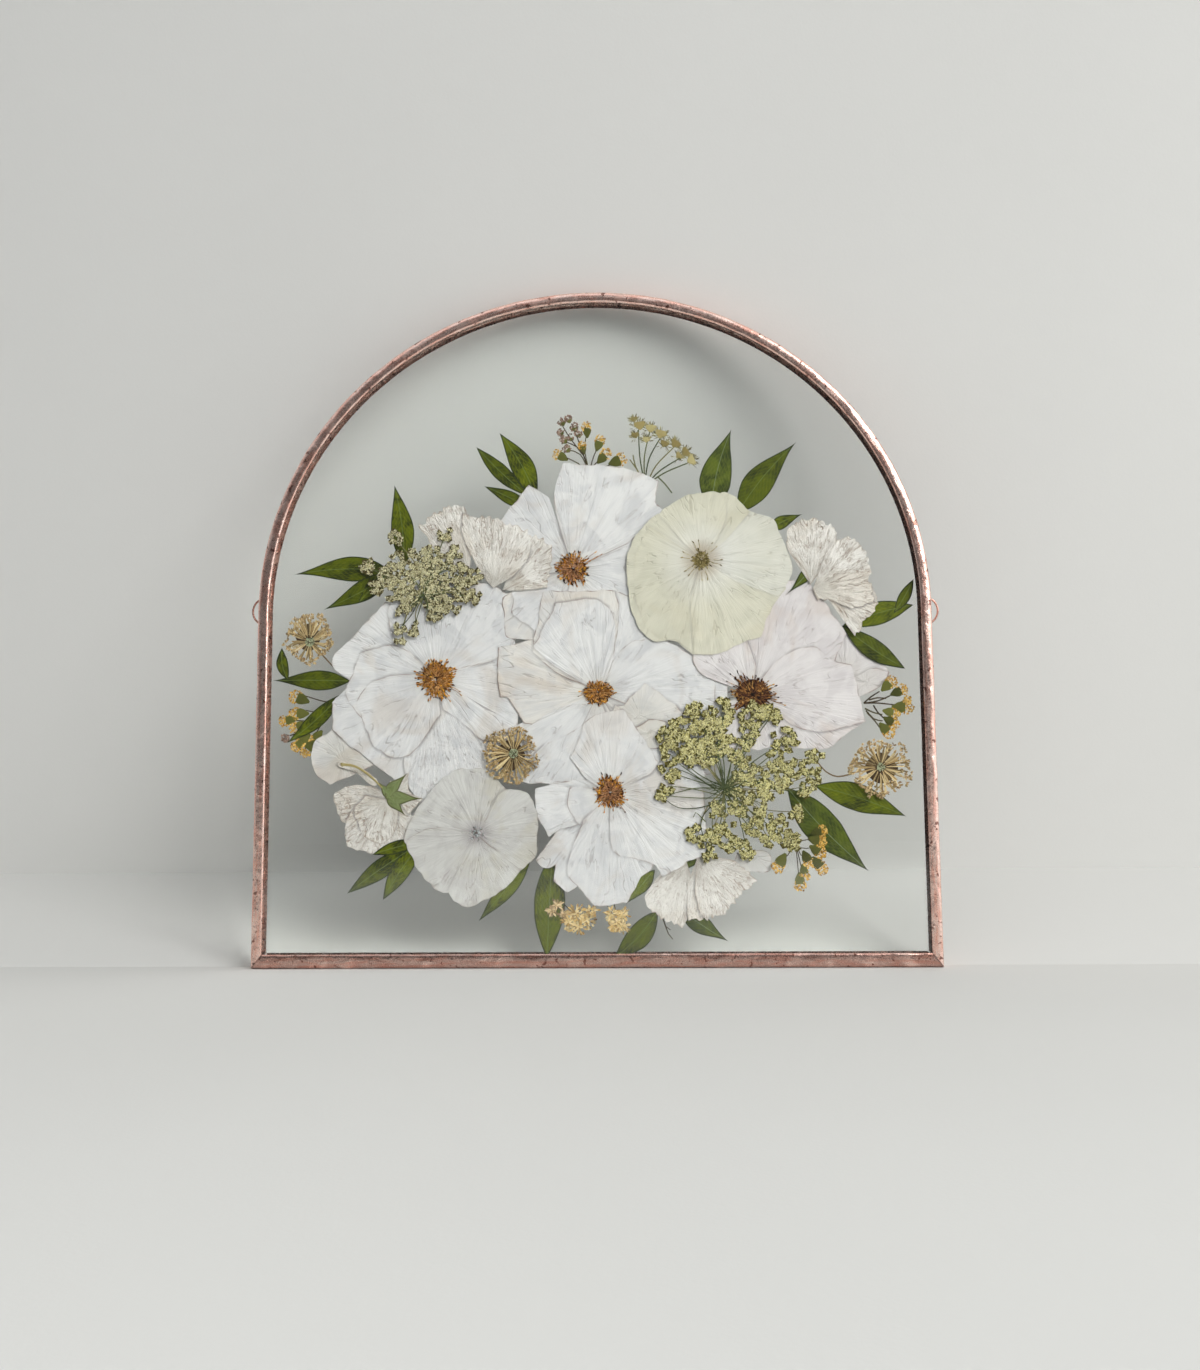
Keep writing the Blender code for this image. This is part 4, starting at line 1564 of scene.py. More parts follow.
class FineWork:
    """Base of the pieces that are made of many tiny parts."""

    def __init__(self, seed: int) -> None:
        """Starts an empty piece with its own row of random numbers."""
        self.made = Pressing()
        self.rng = random.Random(seed)

    def stalk(self, line: list[Point], radius: float, height: float, finish: int, pick: float | None = None,
              taper: float = 0.6, limp: float = 0.0) -> None:
        """Adds a stalk.

        Args:
            line: points it passes through.
            radius: at its start.
            height: of its middle line above the back.
            finish: number of its finish.
            pick: which shade it takes, or None for any.
            taper: its end's radius as a share of its start's.
            limp: how far its middle wanders sideways.
        """
        knots = [tuple(point) for point in line]
        if limp and len(knots) == 2:
            (ax, az), (bx, bz) = knots
            bow = self.rng.uniform(-limp, limp)
            knots.insert(1, ((ax + bx) / 2 - (bz - az) * bow, (az + bz) / 2 + (bx - ax) * bow))
        flat = smooth_path(knots, pace=2.2)
        points, faces = strand(raised(flat, height), np.linspace(radius, radius * taper, len(flat)), 5)
        points[:, 1] = height + (points[:, 1] - height) * min(1.0, 0.12 / radius)
        shade = self.rng.random() if pick is None else pick
        self.made.add(points, faces, (shade, 0.0, 0.9), finish)

    def speck(self, place: Array, height: float, length: float, width: float, finish: int,
              heading: Array | None = None, shade: float | None = None, length_tone: float = 0.5,
              deep: float = 1.0, thick: float = 0.4, rings: int = 2) -> None:
        """Adds one small spindle.

        Args:
            place: its middle in the drawing.
            height: of its middle above the back.
            length: from tip to tip.
            width: across.
            finish: number of its finish.
            heading: the way it points, or None for any.
            shade: which shade it takes, or None for any.
            length_tone: how much of the tip's colour it shows.
            deep: 0 where it lies deep in shade, 1 where it lies on top.
            thick: its thickness towards the viewer.
            rings: rings between its tips.
        """
        way = any_way(self.rng) if heading is None else heading
        points, faces = grain_of_rice(raised(place, height), way, length, width, thick, 3 + rings, rings)
        pick = self.rng.random() if shade is None else shade
        self.made.add(points, faces, (pick, length_tone, deep), finish)

    def floret(self, place: Array, size: float, height: float, finish: int, deep: float) -> None:
        """Adds a floret of small petals round a boss.

        Args:
            place: its middle in the drawing.
            size: across.
            height: of its middle above the back.
            finish: number of its finish.
            deep: 0 where it lies deep in shade, 1 where it lies on top.
        """
        start, shade = self.rng.uniform(0, CIRCLE), self.rng.random()
        squash = self.rng.uniform(0.6, 1.0)
        lean = any_way(self.rng)
        for k in range(4):
            way = turn(start + math.pi * k / 2 + self.rng.gauss(0, 0.15))
            way = way - lean * float(way @ lean) * (1 - squash)
            reach = size * self.rng.uniform(0.26, 0.34)
            self.speck(place + way * reach, height + 0.05, size * 0.46, size * 0.38, finish,
                       way / np.hypot(*way), min(1.0, max(0.0, shade + self.rng.gauss(0, 0.25))),
                       self.rng.uniform(0.2, 1.0), deep, 0.20, 1)
        self.speck(place, height + 0.12, size * 0.24, size * 0.22, finish, None, 0.05, 0.0, deep, 0.16, 1)

    def finish(self, node: str, slot: Slot, extent: Extent, materials: list[Material]) -> None:
        """Makes the piece and presents it.

        Args:
            node: the solid it stands for.
            slot: where its finish comes from.
            extent: left, bottom, right and top of its drawing.
            materials: its finishes in order.
        """
        places = Bed(node, extent).places(np.concatenate(self.made.points))
        present(self.made.build(node + "_pressed", places, materials), slot, node)


@dataclass
class LaceUmbel:
    """Flat head of tiny florets in small clusters, each cluster on a ray from the middle."""

    node: str
    extent: Extent
    centre: Point
    clusters: list[tuple[float, float, float]]
    seed: int
    floret_size: float = 1.5
    balls: float = 0.34
    ball_size: float = 1.25
    arcs: list[tuple[Point, ...]] = field(default_factory=list)
    wisps: int = 26
    FLORETS, STALKS = 0, 1

    def build(self, materials: list[Material]) -> None:
        """Makes the umbel.

        Args:
            materials: finishes of the florets and the stalks.
        """
        work = FineWork(self.seed)
        rng = work.rng
        middle = np.array(self.centre, float)
        for x, z, radius in self.clusters:
            hub = np.array([x, z])
            away = hub - middle
            far = float(np.hypot(*away))
            heel = hub - away / max(far, 1e-6) * min(radius * 0.75, far * 0.5)
            if far > 4:
                work.stalk([tuple(middle + away / far * 1.5), tuple(heel)], 0.30, 0.20, self.STALKS,
                           rng.uniform(0.2, 0.9), 0.6, 0.14)
            for _ in range(max(3, round(self.balls * radius**2))):
                ball = hub + any_way(rng) * radius * math.sqrt(rng.random())
                if rng.random() < 0.5:
                    work.stalk([tuple(heel), tuple(ball)], 0.13, 0.12, self.STALKS, rng.random(), 0.7, 0.10)
                # A broad dark speck under each ball, with a low deep tone: painted shade in the gaps between
                # its florets.
                work.speck(ball, 0.10, self.ball_size * 3.0, self.ball_size * 2.4, self.FLORETS, None, 0.0,
                           0.0, 0.3, 0.12, 1)
                lit, height = rng.uniform(0.50, 1.0), rng.uniform(0.17, 0.34)
                for _ in range(4):
                    spot = ball + any_way(rng) * self.ball_size * math.sqrt(rng.random())
                    work.floret(spot, self.floret_size * rng.uniform(0.8, 1.15),
                                height + rng.uniform(0.0, 0.06), self.FLORETS, lit * rng.uniform(0.75, 1.0))
                for _ in range(6):
                    spot = ball + any_way(rng) * self.ball_size * 1.15 * math.sqrt(rng.random())
                    work.speck(spot, height + rng.uniform(-0.06, 0.08), rng.uniform(0.5, 0.95),
                               rng.uniform(0.35, 0.6), self.FLORETS, None, rng.random(), rng.random(),
                               rng.choice((0.1, 0.7, 1.0, 1.0)), 0.2, 1)
        for arc in self.arcs:
            work.stalk(list(arc), 0.28, 0.24, self.STALKS, rng.uniform(0.0, 0.7), 0.6)
        for _ in range(self.wisps):
            angle = rng.uniform(0, CIRCLE)
            reach = rng.uniform(5, 10)
            work.stalk([tuple(middle), tuple(middle + turn(angle) * reach)], 0.24, 0.40, self.STALKS,
                       rng.uniform(0, 0.45), 0.3, 0.2)
        work.finish(self.node, Slot.LACE, self.extent, materials)


@dataclass
class SeedHead:
    """Round dried head: a pale button, straps that run outward, and curled florets round them."""

    node: str
    centre: Point
    radius: float
    seed: int
    extent: Extent
    button: float = 0.17
    stalk: tuple[Point, ...] = ()
    lean: Point = (0.0, 0.0)
    florets: int = 150
    straps: int = 56
    FLORETS, STRAPS, BUTTON = 0, 1, 2

    def build(self, materials: list[Material]) -> None:
        """Makes the head.

        Args:
            materials: finishes of the florets and the straps, of the stalk and the disc under them, and of
                the button.
        """
        work = FineWork(self.seed)
        rng = work.rng
        middle = np.array(self.centre, float)
        hub = middle + np.array(self.lean) * self.radius
        if self.stalk:
            work.stalk(list(self.stalk), 0.42, 0.16, self.STRAPS, 0.35, 0.7)
        width = self.radius * 1.15
        work.made.add(*grain_of_rice(raised(middle, 0.07), turn(0.0), width, width, 0.10, 22, 7),
                      (0.08, 0.0, 0.5), self.STRAPS)
        for k in range(self.straps):
            angle = CIRCLE * k / self.straps + rng.gauss(0, 0.07)
            rim = middle + turn(angle + rng.gauss(0, 0.05)) * self.radius * rng.uniform(0.68, 1.0)
            root = hub + (rim - hub) * rng.uniform(0.16, 0.34)
            bow = (rim - root)[::-1] * [1, -1] * rng.gauss(0, 0.05)
            line = np.stack([root, root + (rim - root) * 0.4 + bow, root + (rim - root) * 0.75 + bow, rim])
            path = raised(line, rng.uniform(0.15, 0.26) + np.array([0.0, 0.02, 0.05, 0.07]))
            points, sides = strand(path, np.array([0.14, 0.26, 0.42, 0.26]) * rng.uniform(0.75, 1.25), 6)
            middle_height = np.concatenate([np.repeat(path[:, 1], 6), path[[0, -1], 1]])
            points[:, 1] = middle_height + (points[:, 1] - middle_height) * 0.25
            work.made.add(points, sides, (rng.uniform(0.25, 0.95), 0.2, rng.uniform(0.1, 1.0)), self.FLORETS)
        for number in range(self.florets):
            angle = rng.uniform(0, CIRCLE)
            share = rng.uniform(0.84, 1.0) if number % 2 else rng.uniform(0.60, 0.90)
            edge = 1 + 0.08 * math.sin(angle * 5 + self.seed) + rng.gauss(0, 0.03)
            spot = hub + (middle + turn(angle) * self.radius * min(edge, 1.08) - hub) * share
            for _ in range(4):
                way = angle + rng.uniform(-1.1, 1.1)
                work.speck(spot + turn(way) * rng.uniform(0.2, 0.9), rng.uniform(0.20, 0.42),
                           rng.uniform(0.9, 1.8), rng.uniform(0.5, 0.95), self.FLORETS, turn(way),
                           rng.uniform(0.15, 1.0), rng.random(), rng.uniform(0.0, 1.0), 0.22)
        for _ in range(round(70 * self.button / 0.17)):
            spot = hub + any_way(rng, LOOSE_CIRCLE) * self.radius * self.button * math.sqrt(rng.random())
            work.speck(spot, rng.uniform(0.25, 0.42), 0.9, 0.42, self.BUTTON, None, None,
                       rng.random() * 0.6, 1.0, 0.3)
        work.finish(self.node, Slot.STRAW, self.extent, materials)


class Habit(Enum):
    """How the small parts of a bud or a small flower stand."""

    FLUFFY = 1
    SPIKY = 2
    RAGGED = 3


@dataclass(frozen=True)
class Bud:
    """Fluffy bud in a green cup."""

    place: Point
    size: float = 2.0
    cup: float = 1.0
    finish: int = 0


@dataclass
class BudSprig:
    """Thin stems that each carry a bud in a green cup."""

    node: str
    slot: Slot
    extent: Extent
    buds: list[Bud]
    stems: list[tuple[Point, ...]]
    seed: int
    root: Point
    tufts: int = 46
    stem: float = 0.26
    habit: Habit = Habit.FLUFFY
    CUPS, STEMS = 1, 2

    def build(self, materials: list[Material]) -> None:
        """Makes the sprig.

        Args:
            materials: finishes of the fluff, the cups, the stems and the odd buds.
        """
        work = FineWork(self.seed)
        rng = work.rng
        for line in self.stems:
            work.stalk(list(line), self.stem, 0.14, self.STEMS, rng.uniform(0.1, 0.8), 0.8)
        for bud in self.buds:
            place, size = np.array(bud.place, float), bud.size * 1.42
            away = place - np.array(self.root)
            away /= max(float(np.hypot(*away)), 1e-6)
            if bud.cup:
                heel = place - away * size * 1.35 * bud.cup
                share = np.array([0, 0.2, 0.45, 0.7, 1.0])[:, None]
                line = heel + (place + away * size * 0.3 - heel) * share
                radii = np.array([0.14, 0.34, 0.60, 0.74, 0.66]) * size
                points, faces = strand(raised(line, 0.15), radii, 9)
                points[:, 1] = 0.15 + (points[:, 1] - 0.15) * 0.09
                work.made.add(points, faces, (rng.random(), 0.3, 1.0), self.CUPS)
            for _ in range(round(self.tufts * size / 2)):
                off = any_way(rng) * size * 0.86 * math.sqrt(rng.random())
                spot = place + away * size * 0.5 + off
                lit = 0.1 + 0.9 * rng.random()
                way, length, width = None, rng.uniform(0.8, 1.5), 0.7
                if self.habit is Habit.SPIKY:
                    way = turn(math.atan2(away[1], away[0]) + rng.gauss(0, 1.0))
                    spot = place - away * size * 0.4 + way * size * rng.uniform(0.2, 1.1)
                    length, width = rng.uniform(1.6, 2.8), 0.34
                elif self.habit is Habit.RAGGED:
                    way = any_way(rng)
                    spot = place + away * size * 0.4 + way * size * rng.uniform(0.1, 0.95)
                    length, width = rng.uniform(1.5, 2.8), 0.95
                work.speck(spot, 0.12 + 0.12 * lit, length, width * rng.uniform(0.75, 1.25), bud.finish, way,
                           rng.uniform(0.1, 1.0), rng.random(), lit, 0.16)
        work.finish(self.node, self.slot, self.extent, materials)


# Stage

@dataclass
class Studio:
    """Floor, leaning wall, window light and camera.

    Each row of glow is an axis, two places along it, and the strength of the room's light at each of them.
    """

    lean: float = 20.0
    clearance: float = 0.002
    camera_place: tuple[float, float, float] = (0.01953544, -0.49521471, 0.06556669)
    camera_turn: tuple[float, float, float] = (95.694, 0.3995, 1.9392)
    lens: float = 31.533
    window_turn: float = 44.0
    window_rise: float = 28.0
    window_distance: float = 2.3
    window_size: float = 1.2
    window_power: float = 31.0
    window_aim: float = 0.14
    window_colour: Rgb = (1.0, 0.99, 0.97)
    half_width: float = 1.6
    wall_height: float = 1.3
    floor_colour: Rgb = (0.65, 0.65, 0.63)
    wall_colour: Rgb = (0.82, 0.82, 0.80)
    glow_colour: Rgb = (0.96, 0.98, 1.0)
    glow: tuple[tuple[str, float, float, float, float], ...] = (
        ("X", 0.25, 1.0, 0.0, 1.0), ("Z", 0.30, 1.0, 0.0, 1.0), ("Y", -0.9, 0.6, 0.10, 0.75))

    def plane(self, name: str, corners: list[tuple[float, float, float]], finish: PaintFinish) -> None:
        """Makes one flat surface of the stage from its corners.

        Args:
            name: its name.
            corners: its corners in order.
            finish: its paint.
        """
        mesh = bpy.data.meshes.new(name)
        mesh.from_pydata(corners, [], [tuple(range(len(corners)))])
        mesh.materials.append(finish.dress())
        item = bpy.data.objects.new(name, mesh)
        bpy.context.collection.objects.link(item)

    def build_room(self) -> None:
        """Makes the floor and the wall that leans over behind the frame."""
        low, high = (Vector(corner) for corner in cad_bounds)
        slope = math.tan(math.radians(self.lean))
        back = high.y + self.clearance
        foot = (back + (high.z - low.z) * slope) / (1 + slope**2)
        rise = low.z + (foot - high.y) * slope
        wide, tall = self.half_width, self.wall_height
        head = foot - (tall - rise) * slope
        self.plane("floor", [(-wide, -wide, low.z), (wide, -wide, low.z), (wide, wide, low.z),
                             (-wide, wide, low.z)], PaintFinish("floor_paint", self.floor_colour))
        self.plane("ramp", [(-wide, high.y, low.z), (wide, high.y, low.z), (wide, foot, rise),
                            (-wide, foot, rise)], PaintFinish("ramp_paint", self.floor_colour, True))
        self.plane("wall", [(-wide, foot, rise), (wide, foot, rise), (wide, head, tall),
                            (-wide, head, tall)], PaintFinish("wall_paint", self.wall_colour, True))

    def build_light(self) -> None:
        """Makes the window light and the dimmer light of the room."""
        azimuth, rise = math.radians(self.window_turn), math.radians(self.window_rise)
        way = Vector((math.sin(azimuth) * math.cos(rise), -math.cos(azimuth) * math.cos(rise),
                      math.sin(rise)))
        data = bpy.data.lights.new("window", "AREA")
        data.shape = "SQUARE"
        data.size = self.window_size
        data.energy = self.window_power
        data.color = self.window_colour
        window = bpy.data.objects.new("window", data)
        window.location = way * self.window_distance + Vector((0, 0, self.window_aim))
        window.rotation_euler = (-way).to_track_quat("-Z", "Y").to_euler()
        bpy.context.collection.objects.link(window)
        world = bpy.data.worlds.new("room")
        world.use_nodes = True
        tree = world.node_tree
        tree.nodes.clear()
        nodes = {kind: tree.nodes.new("ShaderNode" + kind) for kind in
                 ("TexCoord", "SeparateXYZ", "Background", "OutputWorld")}
        tree.links.new(nodes["TexCoord"].outputs["Generated"], nodes["SeparateXYZ"].inputs[0])
        parts = []
        for axis, *stops in self.glow:
            ramp = tree.nodes.new("ShaderNodeMapRange")
            ramp.interpolation_type = "SMOOTHSTEP"
            for number, value in enumerate(stops, 1):
                ramp.inputs[number].default_value = value
            tree.links.new(nodes["SeparateXYZ"].outputs[axis], ramp.inputs[0])
            parts.append(ramp.outputs[0])
        for other in parts[1:]:
            total = tree.nodes.new("ShaderNodeMath")
            tree.links.new(parts[0], total.inputs[0])
            tree.links.new(other, total.inputs[1])
            parts[0] = total.outputs[0]
        tree.links.new(parts[0], nodes["Background"].inputs["Strength"])
        nodes["Background"].inputs["Color"].default_value = (*self.glow_colour, 1.0)
        tree.links.new(nodes["Background"].outputs[0], nodes["OutputWorld"].inputs["Surface"])
        bpy.context.scene.world = world
        bpy.context.scene.view_settings.view_transform = "Standard"

    def build_camera(self) -> None:
        """Makes the camera."""
        data = bpy.data.cameras.new("camera")
        data.lens = self.lens
        data.clip_start = 0.01
        camera = bpy.data.objects.new("camera", data)
        camera.location = self.camera_place
        camera.rotation_euler = tuple(math.radians(part) for part in self.camera_turn)
        bpy.context.collection.objects.link(camera)
        bpy.context.scene.camera = camera

    def build(self) -> None:
        """Makes the whole stage."""
        self.build_room()
        self.build_light()
        self.build_camera()
        log.info("studio: floor, wall, window, camera")


# The pressed pieces of this frame

WHITE = PetalFinish("white_petal_dried", (0.79, 0.785, 0.78), veins=0.15)
TINTED = PetalFinish("ivory_petal_dried", (0.78, 0.755, 0.715), staining=0.6, browning=0.9, veins=0.15)
PLEATED = PetalFinish("pleated_petal_dried", (0.80, 0.795, 0.79), pleats=0.4, browning=0.4)
CREAM = PetalFinish("cream_petal_dried", (0.69, 0.67, 0.555), shade=(0.53, 0.52, 0.42),
    stain=(0.62, 0.575, 0.43), edge=(0.34, 0.30, 0.20), heart=(0.36, 0.27, 0.17), staining=0.35,
    browning=0.5, veins=0.30, outline=0.4, flush=0.62, flush_from=3.5, flush_to=11.0, bloom=0.55)
THIN_CREAM = PetalFinish("cream_petal_thin", (0.71, 0.70, 0.625), shade=(0.56, 0.56, 0.50),
    stain=(0.62, 0.60, 0.50), edge=(0.40, 0.36, 0.26), heart=(0.36, 0.27, 0.17), staining=0.3, browning=0.5,
    veins=0.20, outline=0.5, flush=0.62, flush_from=3.5, flush_to=11.0, bloom=0.6)
PALE = PetalFinish("pale_petal_dried", (0.66, 0.655, 0.63), shade=(0.44, 0.42, 0.415),
    stain=(0.56, 0.53, 0.44), heart=(0.24, 0.19, 0.21), staining=0.65, browning=0.7, veins=0.35,
    outline=0.7, flush=0.6, flush_from=1.2, flush_to=8.0)
BLUSH = PetalFinish("blush_petal_dried", (0.77, 0.74, 0.735), shade=(0.55, 0.51, 0.525),
    stain=(0.60, 0.50, 0.44), staining=0.45, veins=0.20)
RUFFLED = PetalFinish("ruffled_petal_dried", (0.89, 0.865, 0.82), shade=(0.54, 0.50, 0.45),
    stain=(0.76, 0.68, 0.58), edge=(0.36, 0.26, 0.19), staining=0.4, veins=0.10, browning=0.6, pleats=1.0)
GREEN = LeafFinish("green_leaf_dried", (0.105, 0.135, 0.001), (0.235, 0.262, 0.004), (0.015, 0.024, 0.001))
GREY = LeafFinish("grey_leaf_dried", (0.105, 0.140, 0.010), (0.195, 0.225, 0.030), (0.026, 0.042, 0.004),
    rib=(0.22, 0.28, 0.15))
SEPAL = LeafFinish("sepal_dried", (0.20, 0.25, 0.10), (0.34, 0.36, 0.18), (0.12, 0.15, 0.05),
    edge=(0.10, 0.10, 0.04))
ORANGE = FibreFinish("anther_orange", ((0.0, (0.020, 0.008, 0.004)), (0.24, (0.12, 0.036, 0.006)),
    (0.42, (0.56, 0.20, 0.012)), (1.0, (0.96, 0.50, 0.05))), (0.10, 0.03, 0.01), 0.35)
MAUVE = FibreFinish("fibre_mauve", ((0.0, (0.07, 0.022, 0.010)), (0.5, (0.42, 0.18, 0.07)),
    (1.0, (0.72, 0.42, 0.22))), (0.52, 0.27, 0.12))
RUST = FibreFinish("fibre_rust", ((0.0, (0.05, 0.018, 0.006)), (0.45, (0.44, 0.18, 0.040)),
    (1.0, (0.84, 0.51, 0.20))), (0.62, 0.36, 0.12))
DARK = FibreFinish("anther_dark", ((0.0, (0.014, 0.006, 0.005)), (0.50, (0.11, 0.040, 0.018)),
    (0.78, (0.46, 0.20, 0.045)), (1.0, (0.80, 0.48, 0.14))), (0.04, 0.012, 0.01), 0.4)
OLIVE = FibreFinish("fibre_olive", ((0.0, (0.16, 0.12, 0.035)), (0.5, (0.34, 0.27, 0.10)),
    (1.0, (0.52, 0.45, 0.22))), (0.58, 0.52, 0.30))
BUTTON = FibreFinish("button_pale", ((0.0, (0.36, 0.40, 0.42)), (1.0, (0.66, 0.70, 0.70))),
    (0.74, 0.76, 0.76))
LACE = FibreFinish("floret_lace", ((0.0, (0.12, 0.09, 0.03)), (0.26, (0.56, 0.49, 0.22)),
    (1.0, (0.98, 0.94, 0.62))), (0.98, 0.95, 0.68), 0.6)
OLIVE_LACE = FibreFinish("floret_olive", ((0.0, (0.14, 0.12, 0.018)), (0.24, (0.60, 0.53, 0.16)),
    (1.0, (0.99, 0.93, 0.46))), (0.99, 0.96, 0.62), 0.6)
GREEN_LACE = FibreFinish("floret_green", ((0.0, (0.05, 0.045, 0.015)), (0.5, (0.20, 0.175, 0.06)),
    (1.0, (0.46, 0.42, 0.20))), (0.62, 0.58, 0.36), 0.4)
RAY = FibreFinish("stalk_green", ((0.0, (0.030, 0.045, 0.018)), (0.5, (0.10, 0.12, 0.045)),
    (1.0, (0.30, 0.24, 0.12))), (0.2, 0.2, 0.1), 0.2)
STRAW = FibreFinish("floret_straw", ((0.0, (0.13, 0.065, 0.022)), (0.4, (0.48, 0.33, 0.14)),
    (1.0, (0.86, 0.70, 0.40))), (0.60, 0.40, 0.24), 0.5)
SLOT_BROWN = FibreFinish("strap_brown", ((0.0, (0.055, 0.028, 0.014)), (0.5, (0.22, 0.15, 0.07)),
    (1.0, (0.42, 0.32, 0.17))), (0.3, 0.2, 0.1), 0.3)
SAGE = FibreFinish("button_sage", ((0.0, (0.16, 0.19, 0.10)), (1.0, (0.46, 0.50, 0.32))), (0.58, 0.60, 0.44))
GOLD = FibreFinish("bud_gold", ((0.0, (0.18, 0.065, 0.008)), (0.4, (0.58, 0.30, 0.035)),
    (1.0, (0.90, 0.58, 0.14))), (0.94, 0.70, 0.26), 0.5)
IVORY = FibreFinish("floret_ivory", ((0.0, (0.24, 0.11, 0.025)), (0.4, (0.60, 0.39, 0.12)),
    (1.0, (0.84, 0.67, 0.34))), (0.92, 0.79, 0.50), 0.5)
CUP = FibreFinish("bud_cup", ((0.0, (0.050, 0.055, 0.010)), (1.0, (0.14, 0.145, 0.030))),
    (0.20, 0.19, 0.05), 0.3)
STEM = FibreFinish("stem_dark", ((0.0, (0.030, 0.020, 0.014)), (0.6, (0.075, 0.055, 0.030)),
    (1.0, (0.12, 0.12, 0.05))), (0.1, 0.08, 0.04), 0.2)
PINK_BUD = FibreFinish("bud_mauve", ((0.0, (0.10, 0.05, 0.04)), (0.5, (0.25, 0.15, 0.115)),
    (1.0, (0.42, 0.29, 0.22))), (0.50, 0.38, 0.30), 0.4)
PLUM = FibreFinish("fibre_plum", ((0.0, (0.06, 0.03, 0.035)), (1.0, (0.22, 0.13, 0.14))), (0.3, 0.2, 0.2),
    0.3)


